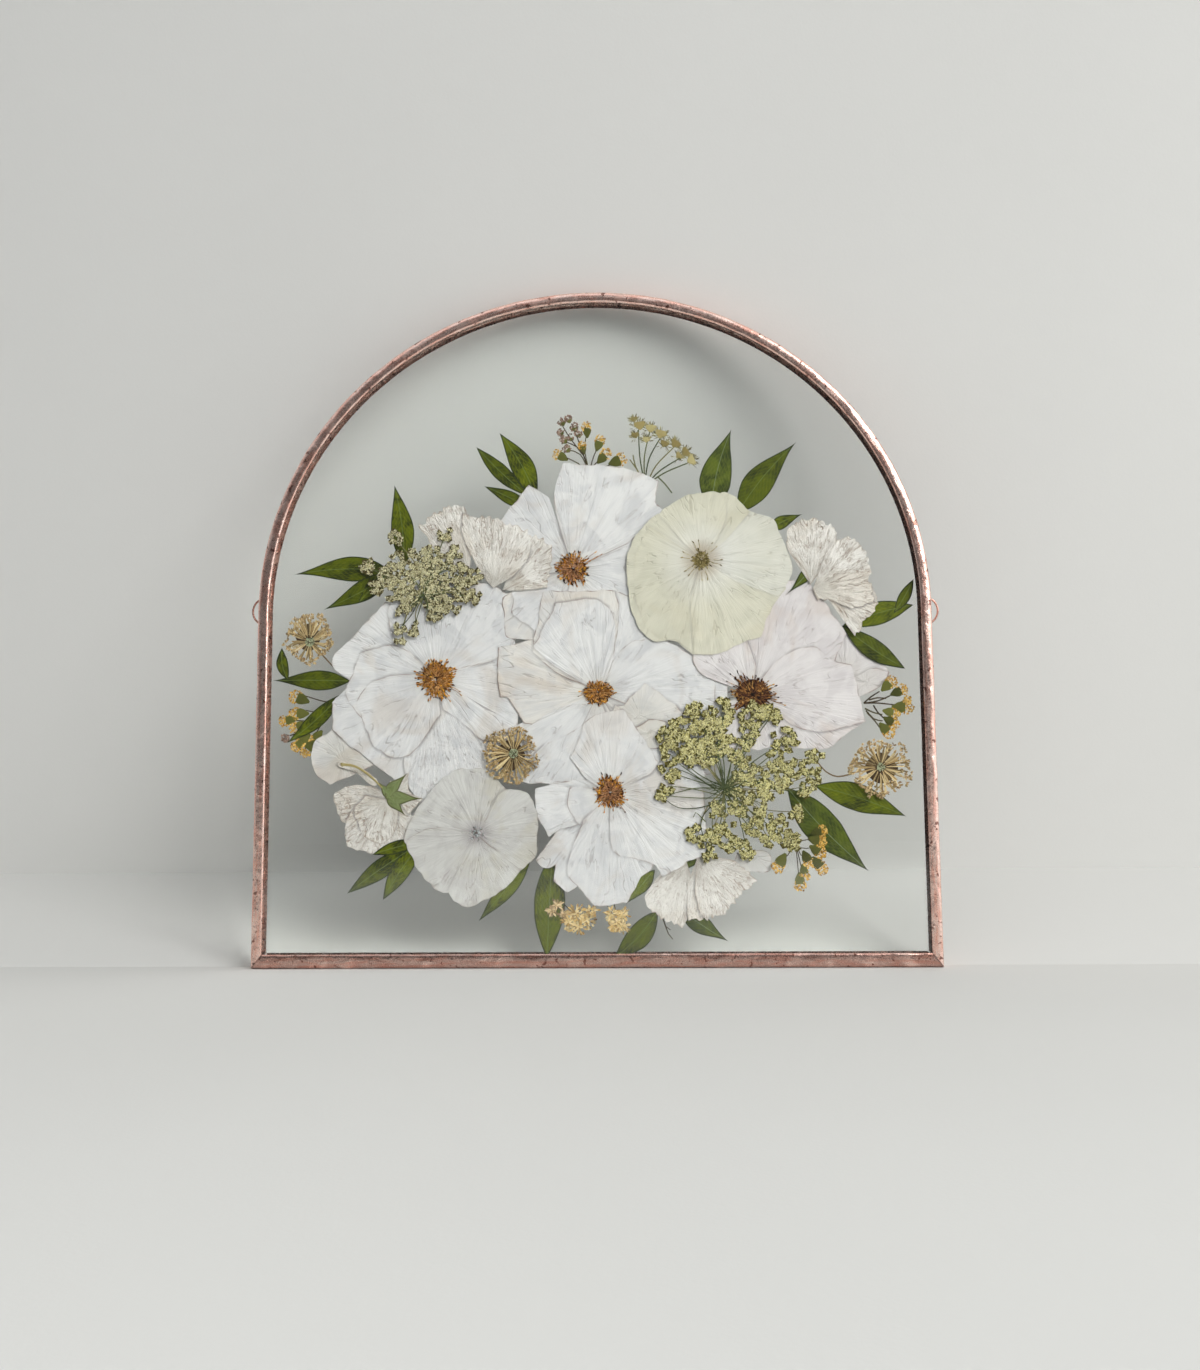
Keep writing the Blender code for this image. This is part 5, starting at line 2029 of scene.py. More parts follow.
def white_flowers() -> list[tuple[PressedFlower, list[Finish]]]:
    """The five big flowers.

    Returns:
        Each flower with its finishes.
    """
    top = PressedFlower("white_flower_top", Slot.WHITE, (-8, 164), [
        Petal([(-30, 163), (-33.5, 161), (-33.5, 155), (-38, 152), (-37, 145), (-36.3, 136), (-33, 134.4),
            (-24, 134.5), (-10, 138), (0, 141)], (2, 3, 6), finish=1),
        Petal([(-26, 160), (-33.6, 155), (-33, 150), (-34, 146), (-31, 143), (-24, 138.5), (-23, 135),
            (-8, 139)], (1, 3, 5)),
        Petal([(-31, 160), (-41, 174), (-38, 186), (-26.5, 200.5), (-18, 195), (-17.3, 190), (-12, 178)],
            (2, 3, 4, 5)),
        Petal([(26.5, 192), (31, 187), (25, 170), (20, 150), (8, 143), (0, 141), (-12, 146)], (1,)),
        Petal([(-14, 182), (-14.5, 190), (-13.5, 198), (-5, 203.5), (4, 204), (11, 200), (15, 195),
            (19, 197), (26, 194), (26, 184), (12, 172)], (6,)),
        Petal([(-10, 170), (-13.5, 182), (-15.5, 190), (-15.6, 198), (-12, 209.5), (8, 208), (20, 205),
            (28, 201), (26.5, 192), (29, 187), (14, 174)], (4, 7, 8)),
    ], 11, [Crown((-8, 164), 7.6, 7.4, strays=((4, 170), (1.5, 171), (0.5, 168), (2, 169)))], floor=0.12)
    left = PressedFlower("white_flower_left", Slot.WHITE, (-65, 118.5), [
        Petal([(-92, 116), (-101.8, 118.5), (-108.5, 124), (-108, 129), (-97, 140), (-87, 151), (-72, 150)],
            (1, 5)),
        Petal([(-96, 121), (-102, 117), (-103.8, 114), (-108.6, 109), (-108.8, 97), (-80.5, 75), (-76, 79),
            (-70, 92)], (3, 4, 5)),
        Petal([(-78, 90), (-78, 80), (-75.5, 72), (-69, 66), (-55, 68), (-44, 78), (-30, 98), (-46, 104)],
            (2, 6), pleats=2.2, finish=1),
        Petal([(-62, 106), (-52, 98.5), (-44, 92), (-31, 98), (-30.4, 104), (-30.3, 118), (-30.2, 131),
            (-40, 142), (-54, 128)], (3, 6)),
        Petal([(-55, 123), (-41, 126), (-33.6, 133), (-32.5, 153), (-44, 158.5), (-66, 160), (-84, 152),
            (-84, 138), (-78, 126)], (3,)),
        Petal([(-76, 130), (-84, 133), (-93, 131), (-97, 129.5), (-101, 119), (-103, 113), (-101, 108),
            (-96.5, 102), (-90, 95), (-74, 104)], (3, 4)),
        Petal([(-74, 120.5), (-84, 120), (-92, 117), (-97, 112.5), (-98.4, 109), (-96, 102), (-93, 94.5),
            (-90, 89.5), (-84, 86.3), (-78, 85.5), (-75, 87), (-70, 93), (-63, 104)], (4,)),
    ], 12, [Crown((-65, 118.5), 8.6, 8.8, anthers=260, strays=((-55, 113), (-54.5, 111.5), (-59, 109)))])
    middle = PressedFlower("white_flower_middle", Slot.WHITE, (2.8, 111.4), [
        Petal([(18, 120), (42, 132), (56, 120), (56, 92), (50, 78), (20, 76), (6, 90)], (3,)),
        Petal([(-12, 104), (-35, 97), (-33, 76), (-24, 74), (8, 74), (48, 76), (36, 98)], (1, 2, 5)),
        Petal([(-20, 138), (-25, 134), (-39.5, 131), (-39.7, 118), (-38.5, 110), (-36, 110), (-28, 99),
            (-16, 97), (-4, 101)], (2, 4, 5, 6), finish=1),
        Petal([(0, 106), (-8, 106.3), (-18, 103), (-28.5, 96.5), (-26, 85), (-10, 80), (4, 84), (10, 100)],
            (3,)),
        Petal([(-4, 98), (-10, 94), (-20, 90), (-25, 84), (-24, 74), (8, 76), (10, 92)], (2, 4)),
        Petal([(6, 150), (10, 154.5), (26, 148), (34, 140), (31, 130), (16, 119)], (1,)),
        Petal([(7, 122), (16, 132), (28, 133.5), (35, 131), (42, 127.3), (51, 118), (50, 101), (38, 102),
            (18, 105)], (4,)),
        Petal([(-3.5, 115), (-15, 120), (-25, 129), (-23, 140), (-20.5, 154.5), (10, 154.5), (12, 146),
            (10, 130), (7, 118)], (2, 4, 5), finish=1),
        Petal([(-6, 117), (-16, 123), (-24.5, 131), (-15, 149), (0, 151), (9, 145), (10, 130), (7, 118)],
            (2, 3)),
        Petal([(10, 101), (10, 106), (13, 106), (22.3, 115), (27, 112), (38, 103), (37, 94), (24, 88)],
            (1, 3), (20, 100), True, finish=1),
        Petal([(16, 95), (24, 100.5), (33, 98), (32, 90), (20, 88)], (0, 1), (24, 94), True, finish=1),
    ], 13, [Crown((2.8, 111.4), 6.6, 5.2, core=0.9, anthers=150, fibres=190,
        strays=((-5, 112), (-5.5, 110)))])
    right = PressedFlower("white_flower_right", Slot.BLUSH, (66, 110.5), [
        Petal([(56, 108), (50, 101), (53, 89), (66, 88), (80, 88.5), (97, 88), (112, 99), (104, 108),
            (84, 108)], (2, 5, 6)),
        Petal([(56, 122), (46, 139), (62, 150), (80, 157.5), (90.5, 157), (106, 135.5), (100.3, 123.2),
            (86, 116)], (4, 5, 6)),
        Petal([(58, 113.6), (50, 116.5), (44.5, 119.5), (41.8, 123), (41.5, 127.5), (45, 138), (54, 146),
            (62, 138), (68, 122)], (4,)),
        Petal([(70, 117), (76, 124), (83, 128), (92, 130), (99.5, 124), (107.5, 122.3), (110.5, 110),
            (112.5, 99), (96, 95.2), (85, 96.6), (77, 102)], (4, 5, 7)),
    ], 14, [Crown((66, 110.5), 9.8, 8.2, 0.55, anthers=260, fibres=90, core=0.5,
        strays=((57, 119), (60, 120), (78, 107), (79.5, 106), (76, 114), (55.5, 116), (63, 100),
            (61, 98)))], wave=8.0)
    bottom = PressedFlower("white_flower_bottom", Slot.WHITE, (7, 71), [
        Petal([(-8, 60), (-15, 55.5), (-24, 43.5), (-20, 40), (-16, 41), (-16.5, 35), (-11, 30), (-7, 32.5),
            (0, 45)], (1, 2, 4, 5, 6, 7)),
        Petal([(-2, 77), (-10, 76), (-16, 75), (-24, 73), (-24, 62), (-20.5, 56), (-18.7, 52.8),
            (-15.5, 56), (-6, 58)], (3, 4, 6, 7)),
        Petal([(-4, 73.5), (-10, 74), (-10.6, 66), (-8, 61), (-4.5, 57.6), (0, 57.3), (5, 60)], (1,)),
        Petal([(-4, 60), (-9, 48), (-11, 38), (-7, 32.5), (0, 24.3), (13.5, 26), (19.5, 36.5), (24, 42),
            (14, 56)], (3, 4, 5, 6)),
        Petal([(6.6, 63), (7, 50), (10, 45.5), (25, 41), (28, 36.5), (38, 42), (46, 47), (45.6, 61),
            (44, 74), (34, 84), (18, 80)], (4,)),
        Petal([(1, 74), (-3.5, 77.5), (-6.5, 81.5), (-9.8, 86), (-7.2, 90.5), (-4.6, 96), (-4, 100),
            (1, 103.5), (12.5, 106), (20, 95), (26.5, 84), (24, 79), (14, 75)], (3, 8, 10)),
    ], 15, [Crown((7, 71), 7.2, 7.4, anthers=180, fibres=120, strays=((3.5, 79), (11.5, 79), (13, 63)))])
    return [(top, [WHITE, TINTED, MAUVE, ORANGE]), (left, [WHITE, PLEATED, RUST, ORANGE]),
            (middle, [WHITE, TINTED, RUST, ORANGE]), (right, [BLUSH, DARK, DARK]),
            (bottom, [WHITE, MAUVE, ORANGE])]


def round_flowers() -> list[tuple[PressedFlower, list[Finish]]]:
    """The cream flower and the pale round one, whose lobes lie side by side.

    Returns:
        Each flower with its finishes.
    """
    cream = PressedFlower("cream_flower", Slot.CREAM, (46, 167), [
        Petal([(40, 178), (28, 187), (20, 180), (15.2, 171), (14.3, 160), (15.6, 150), (18.6, 140),
            (25.6, 133.2), (34, 133), (42, 127.5), (45, 150)], (1, 9)),
        Petal([(38, 172), (24, 182), (18.5, 171), (17.2, 160), (18.4, 150), (21.5, 141), (27, 134.6),
            (35, 133.4), (42, 127.5), (46, 150)], (1, 8)),
        Petal([(41, 150), (42, 127.5), (52, 127.5), (60, 131), (70, 134.5), (73, 142), (78, 151), (80, 156),
            (62, 160)], (1, 4)),
        Petal([(60, 158), (78, 151), (83, 159), (83.5, 167), (80, 175), (76, 184), (67, 187.5), (57, 178)],
            (1, 6), finish=1),
        Petal([(56, 175), (67, 187.5), (60, 194), (54, 195.2), (50, 184)], (1,)),
        Petal([(38, 175), (28, 187), (37, 193.5), (48, 196), (55, 195), (56.5, 186), (53, 176)], (1,)),
    ], 21, [Crown((46, 167), 4.2, 4.4, 0.30, anthers=60, fibres=70, core=0.7,
        strays=tuple((46 + 8.4 * math.cos(k), 167 + 8.4 * math.sin(k)) for k in range(12)))], fold=0.03,
        wave=9.0)
    pale = PressedFlower("pale_round_flower", Slot.WHITE, (-48.4, 54), [
        Petal([(-58, 50), (-78, 50), (-76, 60), (-70, 69), (-60, 79), (-50, 81), (-43, 79.5), (-36, 72.5),
            (-40, 60)], (7,)),
        Petal([(-51, 46), (-56, 37), (-60, 30), (-66, 32), (-72, 38), (-76, 45), (-78, 51), (-70, 56),
            (-58, 57)]),
        Petal([(-43, 49), (-34, 44), (-30, 39), (-36, 32), (-45, 27), (-52, 24.3), (-58, 26.5), (-60, 31),
            (-57, 37), (-51, 46)], (2, 6)),
        Petal([(-45.5, 57), (-42, 65), (-39, 70), (-36, 72.5), (-28, 71), (-23.5, 65), (-22.5, 54),
            (-24, 44), (-30, 39), (-36, 45), (-44, 50)], (3, 8)),
    ], 22, [Crown((-48.4, 54), 1.5, 1.5, 0.30, anthers=30, fibres=8, core=0.5,
        strays=tuple((-48.4 + 2.8 * math.cos(k), 54 + 2.8 * math.sin(k)) for k in range(11)))], fold=0.03,
        wave=8.0)
    return [(cream, [CREAM, THIN_CREAM, OLIVE, OLIVE]), (pale, [PALE, PLUM, BUTTON])]


def ruffled_flowers() -> list[tuple[PressedFlower, list[Finish]]]:
    """Side views of flowers whose petals are pleated like fans, with frayed edges.

    Returns:
        Each flower with its finishes.
    """
    upper_left = PressedFlower("ruffled_flower_upper_left", Slot.BLUSH, (-44, 164), [
        Petal([(-30, 163), (-29, 160), (-19, 161), (-17, 174), (-22, 179), (-30, 180)], (1, 2), (-38, 160),
            pleats=2.0, fringe=1.2),
        Petal([(-55, 168), (-64, 172), (-70, 180), (-73, 184), (-66, 190), (-57, 192), (-51, 187)], (4,),
            (-52, 165), pleats=2.4, fringe=1.4),
        Petal([(-47, 166), (-54, 178), (-55, 187), (-50, 187.5), (-38, 185.5), (-26, 181), (-27, 172),
            (-34, 165)], (), (-42, 161), pleats=2.4, fringe=1.4),
    ], 31, fold=0.05, wave=2.6, pace=0.62)
    right = PressedFlower("ruffled_flower_right", Slot.BLUSH, (91, 156), [
        Petal([(89, 163), (84, 168), (81.5, 172), (82, 179), (86, 183), (93, 184), (100, 181), (102.5, 174),
            (98, 165)], (), pleats=2.4, fringe=1.2),
        Petal([(96, 150), (101, 148), (105.5, 141), (109, 134), (114, 141.5), (118.5, 148), (116, 156),
            (104, 158)], (3,), (96, 153), pleats=2.0, fringe=1.0),
        Petal([(96, 166), (102, 174.5), (110, 175), (115, 167), (116, 158), (116, 149), (108, 146),
            (100, 149), (94, 149.5)], (), (92, 154), pleats=2.4, fringe=1.2),
    ], 32, fold=0.06, wave=2.6, room=0.42, pace=0.62)
    bottom = PressedFlower("ruffled_flower_bottom", Slot.BLUSH, (39, 42), [
        Petal([(28, 38), (20.8, 28), (24, 21), (30, 18), (36, 15.5), (39, 22), (40, 34)], (4,), (38, 41),
            pleats=2.2, fringe=1.2),
        Petal([(38, 32), (38, 20), (41, 18.5), (46, 20), (50, 30)], (), (42, 42), pleats=2.2, fringe=1.0),
        Petal([(41, 30), (44, 19.5), (52, 21), (60, 28), (66.5, 34), (58, 41), (50, 43)], (4,), (42, 43),
            pleats=2.4, fringe=1.4),
    ], 33, fold=0.05, wave=2.4, pace=0.62)
    return [(upper_left, [RUFFLED]), (right, [RUFFLED]), (bottom, [RUFFLED])]


def loose_petals() -> list[tuple[PressedFlower, list[Finish]]]:
    """Single petals that lie apart from a flower, and the half open flower.

    Returns:
        Each piece with its finishes.
    """
    left = PressedFlower("loose_petal_left", Slot.BLUSH, (-103, 84), [
        Petal([(-108.5, 98), (-117, 91), (-115.5, 79), (-109, 74.6), (-98, 79), (-91, 82.5), (-99, 90)],
            (0, 3, 5), (-104, 86), True)], 41)
    right = PressedFlower("loose_petal_right", Slot.BLUSH, (104, 116), [
        Petal([(105, 136.5), (112, 133), (118, 126), (122.5, 119), (118.5, 113), (109, 109), (100, 112),
            (98, 124)], (0, 3), (104, 118), True),
        Petal([(108, 117), (116, 121), (122, 119), (118.5, 113), (109, 109), (104, 112)], (0, 2),
            (112, 115), True)], 42)
    bottom = PressedFlower("loose_petal_bottom", Slot.CREAM, (65, 46), [
        Petal([(58, 46), (70, 46.5), (72.5, 42), (71, 38), (62, 38), (57.5, 41)], (0,), (65, 44), True)],
        43)
    bud = BudFlower("bud_flower_lower_left", Slot.BLUSH, (-86, 66), [
        Petal([(-91, 74), (-101, 74), (-107.5, 70), (-106, 64), (-101.5, 58), (-96, 62)], (2,), (-84, 70),
            pleats=2.0, fringe=0.5),
        Petal([(-98, 66), (-102, 58), (-101, 50), (-94, 47), (-84, 45), (-78, 52), (-74, 60), (-78, 66)],
            (), (-85, 66), pleats=2.4, fringe=0.5),
        Petal([(-94, 70), (-98, 64), (-95, 54), (-88, 50), (-82, 54), (-80, 64)], (), (-85, 68),
            pleats=2.2),
        Petal([(-99, 80.5), (-104.8, 82), (-104.8, 84.3), (-99, 83), (-89, 76.5), (-91, 74)], (),
            (-94, 78.5), True),
        Petal([(-84, 76), (-80.5, 74.6), (-76.3, 79.6), (-75.8, 71.5), (-69.8, 68.5), (-76, 62)], (2, 4),
            (-82, 70)),
    ], 44, sepals=(((-76.3, 79.6), (-86, 70), 5.0), ((-69.8, 68.5), (-86, 69), 6.0),
        ((-89, 76), (-83, 69), 4.2), ((-77, 61), (-85, 70), 4.6), ((-81.5, 76), (-85, 68), 4.0)),
        pistil=((-103.5, 83), (-98, 82), (-92, 78), (-87, 73)), fold=0.05, wave=3.0, pace=0.62)
    return [(left, [TINTED]), (right, [BLUSH]), (bottom, [TINTED]), (bud, [RUFFLED, SEPAL, OLIVE])]


def leaf_sprigs() -> list[LeafSprig]:
    """Every leaf and every sprig of leaves.

    Returns:
        The sprigs, in order.
    """
    green, grey = Slot.GREEN, Slot.GREY
    rows = [
        ("leaf_sprig_top_left", green, [((-48.8, 217.2), (-27, 195.5), 6.6, 0.6, 0.5),
            ((-39.3, 223.2), (-24, 194), 9.4, -1.6, 0.55),
            ((-45.5, 200.4), (-25, 189.6), 5.8, -0.4, 0.55)]),
        ("leaf_top_left", green, [((-83.7, 201.2), (-79, 165), 9.8, -1.2, 0.56)]),
        ("leaf_sprig_left_upper", green, [((-126, 163.3), (-84, 164), 11.0, -1.8, 0.62),
            ((-113, 148), (-84, 163.5), 9.0, 0.8, 0.6), ((-98.5, 150.5), (-84.5, 162.5), 5.4, -1.0, 0.5)]),
        ("leaf_sprig_left_middle", green, [((-134, 118.2), (-101, 117.6), 8.4, -0.2, 0.6),
            ((-130.5, 132), (-127.5, 118), 5.0, 1.2, 0.5)]),
        ("leaf_left_lower", green, [((-127.6, 92), (-105, 112.4), 7.0, 1.0, 0.55)]),
        ("leaf_sprig_lower_left", green, [((-101.2, 30), (-70, 51), 8.0, -0.6, 0.5),
            ((-86.4, 27.4), (-70, 51.5), 8.2, -0.8, 0.5), ((-91, 45.8), (-70, 51.2), 5.4, -0.4, 0.5)]),
        ("leaf_bottom_left", green, [((-47.2, 18.5), (-25.5, 44), 7.4, 0.2, 0.55)]),
        ("leaf_bottom_middle", green, [((-19.4, 3.4), (-17, 47), 13.0, 0.0, 0.5)]),
        ("leaf_bottom_right", green, [((26, 22.3), (8, 3.6), 9.6, -1.4, 0.45)]),
        ("leaf_bottom_behind", green, [((13, 25), (25, 39), 6.4, -0.2, 0.6)]),
        ("leaf_bottom_far_right", grey, [((54.6, 10), (35, 23), 7.8, -0.4, 0.62)]),
        ("leaf_grey_behind", grey, [((27.5, 36.8), (50, 48.5), 5.4, 0.2, 0.5)]),
        ("leaf_right_upper", green, [((127.4, 60), (90.5, 73), 11.4, 1.0, 0.55)]),
        ("leaf_right_lower", grey, [((111.6, 38), (79.5, 72), 14.5, -1.2, 0.58)]),
        ("leaf_small_right_top", green, [((88.4, 186), (74, 179.5), 5.6, 0.6, 0.62)]),
        ("leaf_top_right_grey", grey, [((59.4, 223), (50, 187), 13.4, 1.6, 0.6)]),
        ("leaf_top_right_green", green, [((86.6, 217), (61, 186.5), 12.4, 1.4, 0.62)]),
        ("leaf_sprig_right", green, [((133.2, 147), (103.5, 138.2), 9.6, 1.0, 0.5),
            ((133.6, 157.8), (125, 143.5), 4.8, -0.4, 0.5),
            ((129, 120.4), (103.5, 138.8), 8.6, -0.8, 0.5)]),
        ("leaf_small_grey", grey, [((80.2, 151.2), (92, 163.4), 5.0, 0.4, 0.72)]),
    ]
    return [LeafSprig(node, slot, [Leaf(*leaf) for leaf in leaves], 51 + number)
            for number, (node, slot, leaves) in enumerate(rows)]


def umbels() -> list[LaceUmbel]:
    """The two lace umbels.

    Returns:
        The left one and the right one.
    """
    left = LaceUmbel("lace_umbel_left", (-98.5, 132, -45.5, 182), (-71, 153), [
        (-95, 165, 3.4), (-91, 157, 3.6), (-87, 162, 4.0), (-84, 155, 4.2), (-83, 168, 3.6),
        (-83.5, 178, 3.2), (-78, 162, 5.0), (-77, 153, 4.8), (-74, 169, 4.6), (-70, 161, 5.2),
        (-68, 170, 4.4), (-69, 152, 4.6), (-63, 165, 4.8), (-62, 156, 5.0), (-58, 170, 3.6),
        (-55, 162, 4.6), (-55, 154, 4.4), (-49, 160, 3.4), (-50, 152, 3.2), (-60, 148, 4.2),
        (-67, 145.5, 3.6), (-80, 147, 3.2), (-81, 139, 3.0), (-75, 138.5, 2.8), (-62, 179, 3.0),
        (-81, 134.5, 2.4)], 61, 0.98, 1.05, 1.15,
        [((-72, 153), (-76, 145), (-81, 139)), ((-71, 153), (-73, 146), (-75, 140)),
            ((-66, 168), (-62, 179))], 10)
    right = LaceUmbel("lace_umbel_right", (24.5, 41.5, 95, 109.5), (54, 72), [
        (29.5, 93, 4.4), (36, 97, 4.8), (33, 87, 4.4), (43, 103, 5.2), (54, 104.5, 5.4), (66, 103.5, 5.6),
        (74, 103, 4.2), (64, 94, 4.2), (43, 94, 5.8), (52, 95, 6.0), (58, 88, 5.6), (48, 87, 6.0),
        (40, 86, 5.0), (31, 79, 4.2), (29.5, 69.5, 3.6), (79, 92, 5.2), (76, 83, 4.6), (83, 80, 4.4),
        (91, 85, 3.6), (90, 77, 3.4), (87, 72, 3.4), (76, 74, 5.0), (68, 75, 5.4), (62, 80, 5.0),
        (68, 66, 5.4), (60, 65, 4.8), (51, 63, 3.8), (66, 57, 4.6), (75, 57, 4.2), (84, 61, 3.6),
        (81, 50, 4.4), (73, 49.5, 4.2), (63, 46, 3.8), (56, 48, 4.2), (47, 51, 4.4), (42, 53, 3.6),
        (47, 44.5, 2.6), (54, 56, 3.6), (58, 73, 4.2)], 62, 1.05, 0.86, 1.3,
        [((52, 70), (44, 76), (36, 82), (33, 85)), ((52, 69), (40, 72), (31, 73)),
            ((52, 68), (42, 68), (30, 69)), ((53, 67), (44, 64), (35, 64), (29, 68)),
            ((53, 68), (46, 62), (44, 56), (47, 47)), ((54, 67), (49, 60), (49, 52)),
            ((50, 72), (40, 78), (35, 80)), ((56, 70), (62, 62), (68, 56)), ((56, 74), (66, 80), (76, 88)),
            ((58, 80), (66, 94), (72, 101)), ((60, 76), (78, 71), (86, 71)), ((56, 66), (64, 56), (72, 50)),
            ((46, 58), (42, 62), (41, 60))], 46)
    return [left, right]


def seed_heads() -> list[SeedHead]:
    """The three seed heads.

    Returns:
        The centre one, the left one and the right one.
    """
    return [
        SeedHead("seed_head_centre", (-33.5, 86), 12.3, 71, (-45.8, 73.7, -21.2, 98.3), lean=(0.12, 0.06),
            florets=170),
        SeedHead("seed_head_left", (-120.5, 136.5), 10.4, 72, (-130.9, 122.5, -107.5, 146.9), 0.2,
            ((-118, 133), (-112, 127), (-107.5, 122.5)), (0.06, -0.18), 140),
        SeedHead("seed_head_right", (118.3, 79.3), 12.6, 73, (92, 66.7, 130.9, 91.9), 0.15,
            ((107, 77), (100, 75.5), (95, 78), (92, 82)), (-0.02, 0.04), 175),
    ]


def buds(*rows: tuple[float, float, float], cup: float = 1.0, finish: int = 0) -> list[Bud]:
    """Buds of one kind from rows of (x, z, size). cup is how big their cups are, against the buds."""
    return [Bud((x, z), size, cup, finish) for x, z, size in rows]


def bud_sprigs() -> list[tuple[BudSprig, list[Finish]]]:
    """The sprigs of yellow buds, the green umbel and the two small flowers.

    Returns:
        Each sprig with its finishes.
    """
    left = BudSprig("yellow_bud_sprig_left", Slot.BUD, (-131, 86, -107.5, 114.5),
        buds((-124, 111, 2.6), (-124, 104, 2.4), (-129, 101, 2.2), (-124, 98, 2.3))
        + buds((-129, 93.5, 1.6), cup=0.0, finish=3)
        + buds((-122, 92, 2.2), (-119, 88.5, 2.6), (-124, 90, 2.0), (-116, 93, 2.2)),
        [((-107.5, 109), (-113, 109.5), (-121, 112)), ((-108, 108), (-114, 104.5), (-121, 105.5)),
            ((-108.5, 107), (-116, 101), (-126, 101)), ((-109, 106), (-115, 97), (-118, 90)),
            ((-110, 105), (-118, 97), (-123, 92)), ((-112, 101), (-120, 97), (-128, 94))], 81, (-107, 104),
        stem=0.34)
    right = BudSprig("yellow_bud_sprig_right", Slot.BUD, (111, 91.5, 132.5, 118),
        buds((123.2, 115.3, 2.4), (128, 112, 2.3), (129.5, 104.5, 2.7), (124.2, 102, 2.2), (124, 97.5, 2.2),
            (121.5, 93.6, 2.4))
        + buds((130.5, 107.5, 1.8), cup=0.0),
        [((111.5, 106.5), (115, 109.5), (119, 112)), ((111.5, 106.5), (118, 107.5), (124, 110)),
            ((111.5, 106.5), (118, 106.5), (126, 105.5)), ((112, 104), (116, 102), (120, 101)),
            ((112.5, 103), (116, 99), (120, 98)), ((113, 102), (116.5, 98), (118.5, 95)),
            ((114, 108), (118, 109), (122, 108.6)), ((116, 105.5), (118, 102), (121, 99))], 82, (112, 105),
        stem=0.42)
    lower = BudSprig("yellow_bud_sprig_lower_right", Slot.BUD, (72, 30, 95.5, 57),
        buds((92.5, 54, 2.0), (91.5, 50, 2.2), (91.5, 45.5, 2.2), (92, 39.5, 2.4), (87, 42, 2.2),
            (75, 40.5, 2.5), (85.5, 36.5, 1.9), (83.5, 32.3, 2.2)),
        [((81, 52), (84, 50), (89, 51)), ((81, 52), (84, 47), (89, 47)), ((81, 51), (80, 46), (77, 42.5)),
            ((82, 50), (84, 44), (86, 43)), ((82, 49), (83.5, 42), (84.5, 37)),
            ((82, 49), (82.5, 42), (83, 35))], 83, (82, 52))
    top = BudSprig("yellow_bud_sprig_top", Slot.BUD, (-16.5, 205, 15.5, 230.5),
        buds((-14, 213.5, 2.0), (-2, 225, 1.9), (3.5, 219, 2.0), (5.5, 213, 2.2), (12, 211, 2.4),
            (-4, 217, 1.6))
        + buds((-13, 228, 1.5), (-10, 229.2, 1.4), (-7.5, 225.5, 1.6), (-5.5, 222.5, 1.4), (-12, 220, 1.5),
            (-10.5, 216, 1.5), (-9, 221, 1.3), (-13.5, 223.5, 1.3), cup=0.4, finish=3),
        [((-1, 206), (-6, 210), (-12, 213)), ((-1, 206), (-5, 214), (-10, 216)),
            ((-1, 206), (-5, 216), (-12, 220)), ((-1, 206), (-5, 218), (-9, 228)),
            ((-1, 206), (-3, 216), (-2, 224)), ((-1, 206), (1, 213), (3.5, 218)),
            ((-1, 206), (2, 210), (5, 212)), ((-1, 206), (5, 208), (11, 210)),
            ((-4, 214), (-10, 222), (-13, 227))], 84, (-1, 206), tufts=34, stem=0.32)
    green = BudSprig("green_umbel_top", Slot.LACE, (15, 195.5, 46, 231),
        buds((20, 226.5, 2.6), (17.5, 229, 1.6), (25, 225, 2.4), (29.5, 222.5, 2.6), (31, 218, 2.0),
            (36, 218, 2.4), (40.5, 214, 2.4), (43, 210.5, 2.4), (37.5, 212.5, 1.8), (23, 220, 1.8),
            (18, 222, 1.8), cup=0.5),
        [((22, 200), (20, 212), (19.5, 224)), ((22, 200), (22, 212), (24.5, 223)),
            ((22, 200), (24, 211), (29, 220)), ((23, 200), (27, 208), (35, 216)),
            ((23, 200), (29, 206), (39, 212)), ((23, 200), (31, 205), (41, 209)),
            ((22, 200), (18, 208), (17, 213)), ((22, 200), (19, 206), (15.5, 211)),
            ((28, 203), (31, 200), (34, 196)), ((22, 200), (22.5, 198), (21, 196))], 85, (23, 201),
        tufts=34, stem=0.36, habit=Habit.SPIKY)
    golden = BudSprig("small_flower_bottom_left", Slot.STRAW, (-20.3, 12.6, 3.2, 28),
        buds((-7, 22.5, 3.4), (-3, 19, 2.8), (-10, 18.5, 3.2), (-6.5, 16, 2.8), (-1, 23, 2.2), cup=0.0)
        + buds((-15, 25, 2.0), (-17.5, 22.5, 1.7), (-12.5, 21.5, 1.8), cup=0.0, finish=3),
        [((-18.5, 24), (-14, 22.5), (-9, 20)), ((-14, 26), (-11, 23), (-8, 20))], 86, (-6, 30), tufts=30,
        habit=Habit.RAGGED)
    golden_right = BudSprig("small_flower_bottom_right", Slot.STRAW, (-2, 12.8, 15.3, 25.5),
        buds((9.5, 18, 3.2), (12, 15.8, 2.4), (7.5, 21.5, 2.6), (11.5, 21, 2.6), (8, 15.5, 1.8), cup=0.0),
        [((2, 25), (6, 24), (9, 21)), ((9, 25), (9.5, 22))], 87, (6, 28), tufts=30, habit=Habit.RAGGED)
    return [(left, [GOLD, CUP, STEM, PINK_BUD]), (right, [GOLD, CUP, STEM]), (lower, [GOLD, CUP, STEM]),
        (top, [GOLD, CUP, STEM, PINK_BUD]), (green, [GREEN_LACE, OLIVE, RAY]),
        (golden, [IVORY, CUP, STEM, STRAW]), (golden_right, [IVORY, CUP, STEM])]


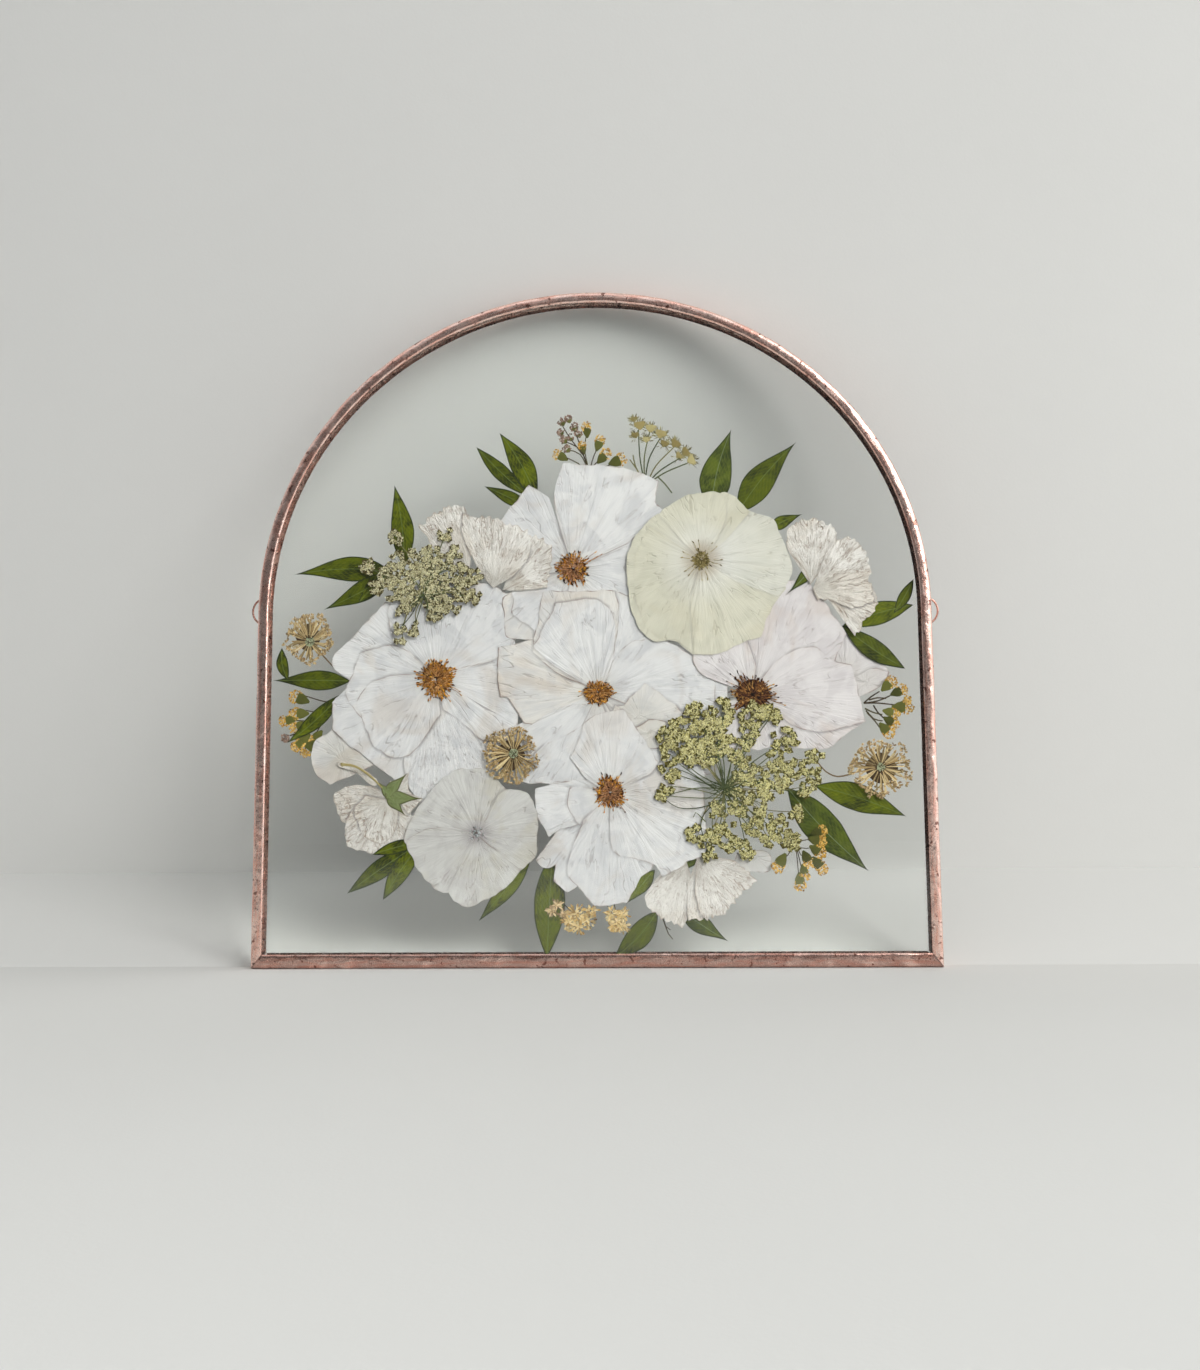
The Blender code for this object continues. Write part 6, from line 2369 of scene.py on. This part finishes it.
@dataclass
class Twig:
    """Bare brown twig."""

    node: str = "twig_bottom"
    line: tuple[Point, ...] = ((28, 19.5), (29.2, 16), (30.2, 13.2), (32, 11))
    shoot: tuple[Point, ...] = ((29.4, 16), (31.2, 14.6))
    extent: Extent = (27.5, 10.8, 32.2, 19.6)
    seed: int = 91

    def build(self, bark: Material) -> None:
        """Makes the twig and dresses it.

        Args:
            bark: its finish.
        """
        work = FineWork(self.seed)
        work.stalk(list(self.line), 0.36, 0.15, 0, 0.6, 0.5)
        work.stalk(list(self.shoot), 0.2, 0.15, 0, 0.5, 0.5)
        work.finish(self.node, Slot.TWIG, self.extent, [bark])


class Wardrobe:
    """Finishes that are already written, so that each is written once."""

    def __init__(self) -> None:
        """Starts empty."""
        self.written: dict[str, Material] = {}

    def get(self, finish: Finish) -> Material:
        """The material of a finish.

        Args:
            finish: the finish.

        Returns:
            Its material, which is the same one every time.
        """
        if finish.name not in self.written:
            self.written[finish.name] = finish.dress()
        return self.written[finish.name]

    def several(self, finishes: list[Finish]) -> list[Material]:
        """The materials of several finishes, in order."""
        return [self.get(finish) for finish in finishes]


def main() -> None:
    """Builds every part of the frame in order, then the stage."""
    logging.basicConfig(level=logging.INFO, format="%(message)s")
    wardrobe = Wardrobe()
    copper = CopperFinish("copper_worked")
    Rim().build(copper)
    for side in (-1, 1):
        HangingRing(side).build(wardrobe.get(CopperFinish("copper_wire", (0.50, 0.26, 0.21),
            (0.66, 0.40, 0.33))))
    Panes().dress(PaneFinish("pane_clear"))
    for flower, finishes in white_flowers() + round_flowers() + ruffled_flowers() + loose_petals():
        flower.build(wardrobe.several(finishes))
    for sprig in leaf_sprigs():
        sprig.build(wardrobe.get(GREEN if sprig.slot is Slot.GREEN else GREY))
    for umbel, finish in zip(umbels(), (LACE, OLIVE_LACE)):
        umbel.build(wardrobe.several([finish, RAY]))
    for head in seed_heads():
        head.build(wardrobe.several([STRAW, SLOT_BROWN, SAGE]))
    for sprig, finishes in bud_sprigs():
        sprig.build(wardrobe.several(finishes))
    Twig().build(wardrobe.get(STEM))
    Studio().build()


if __name__ == "__main__":
    main()
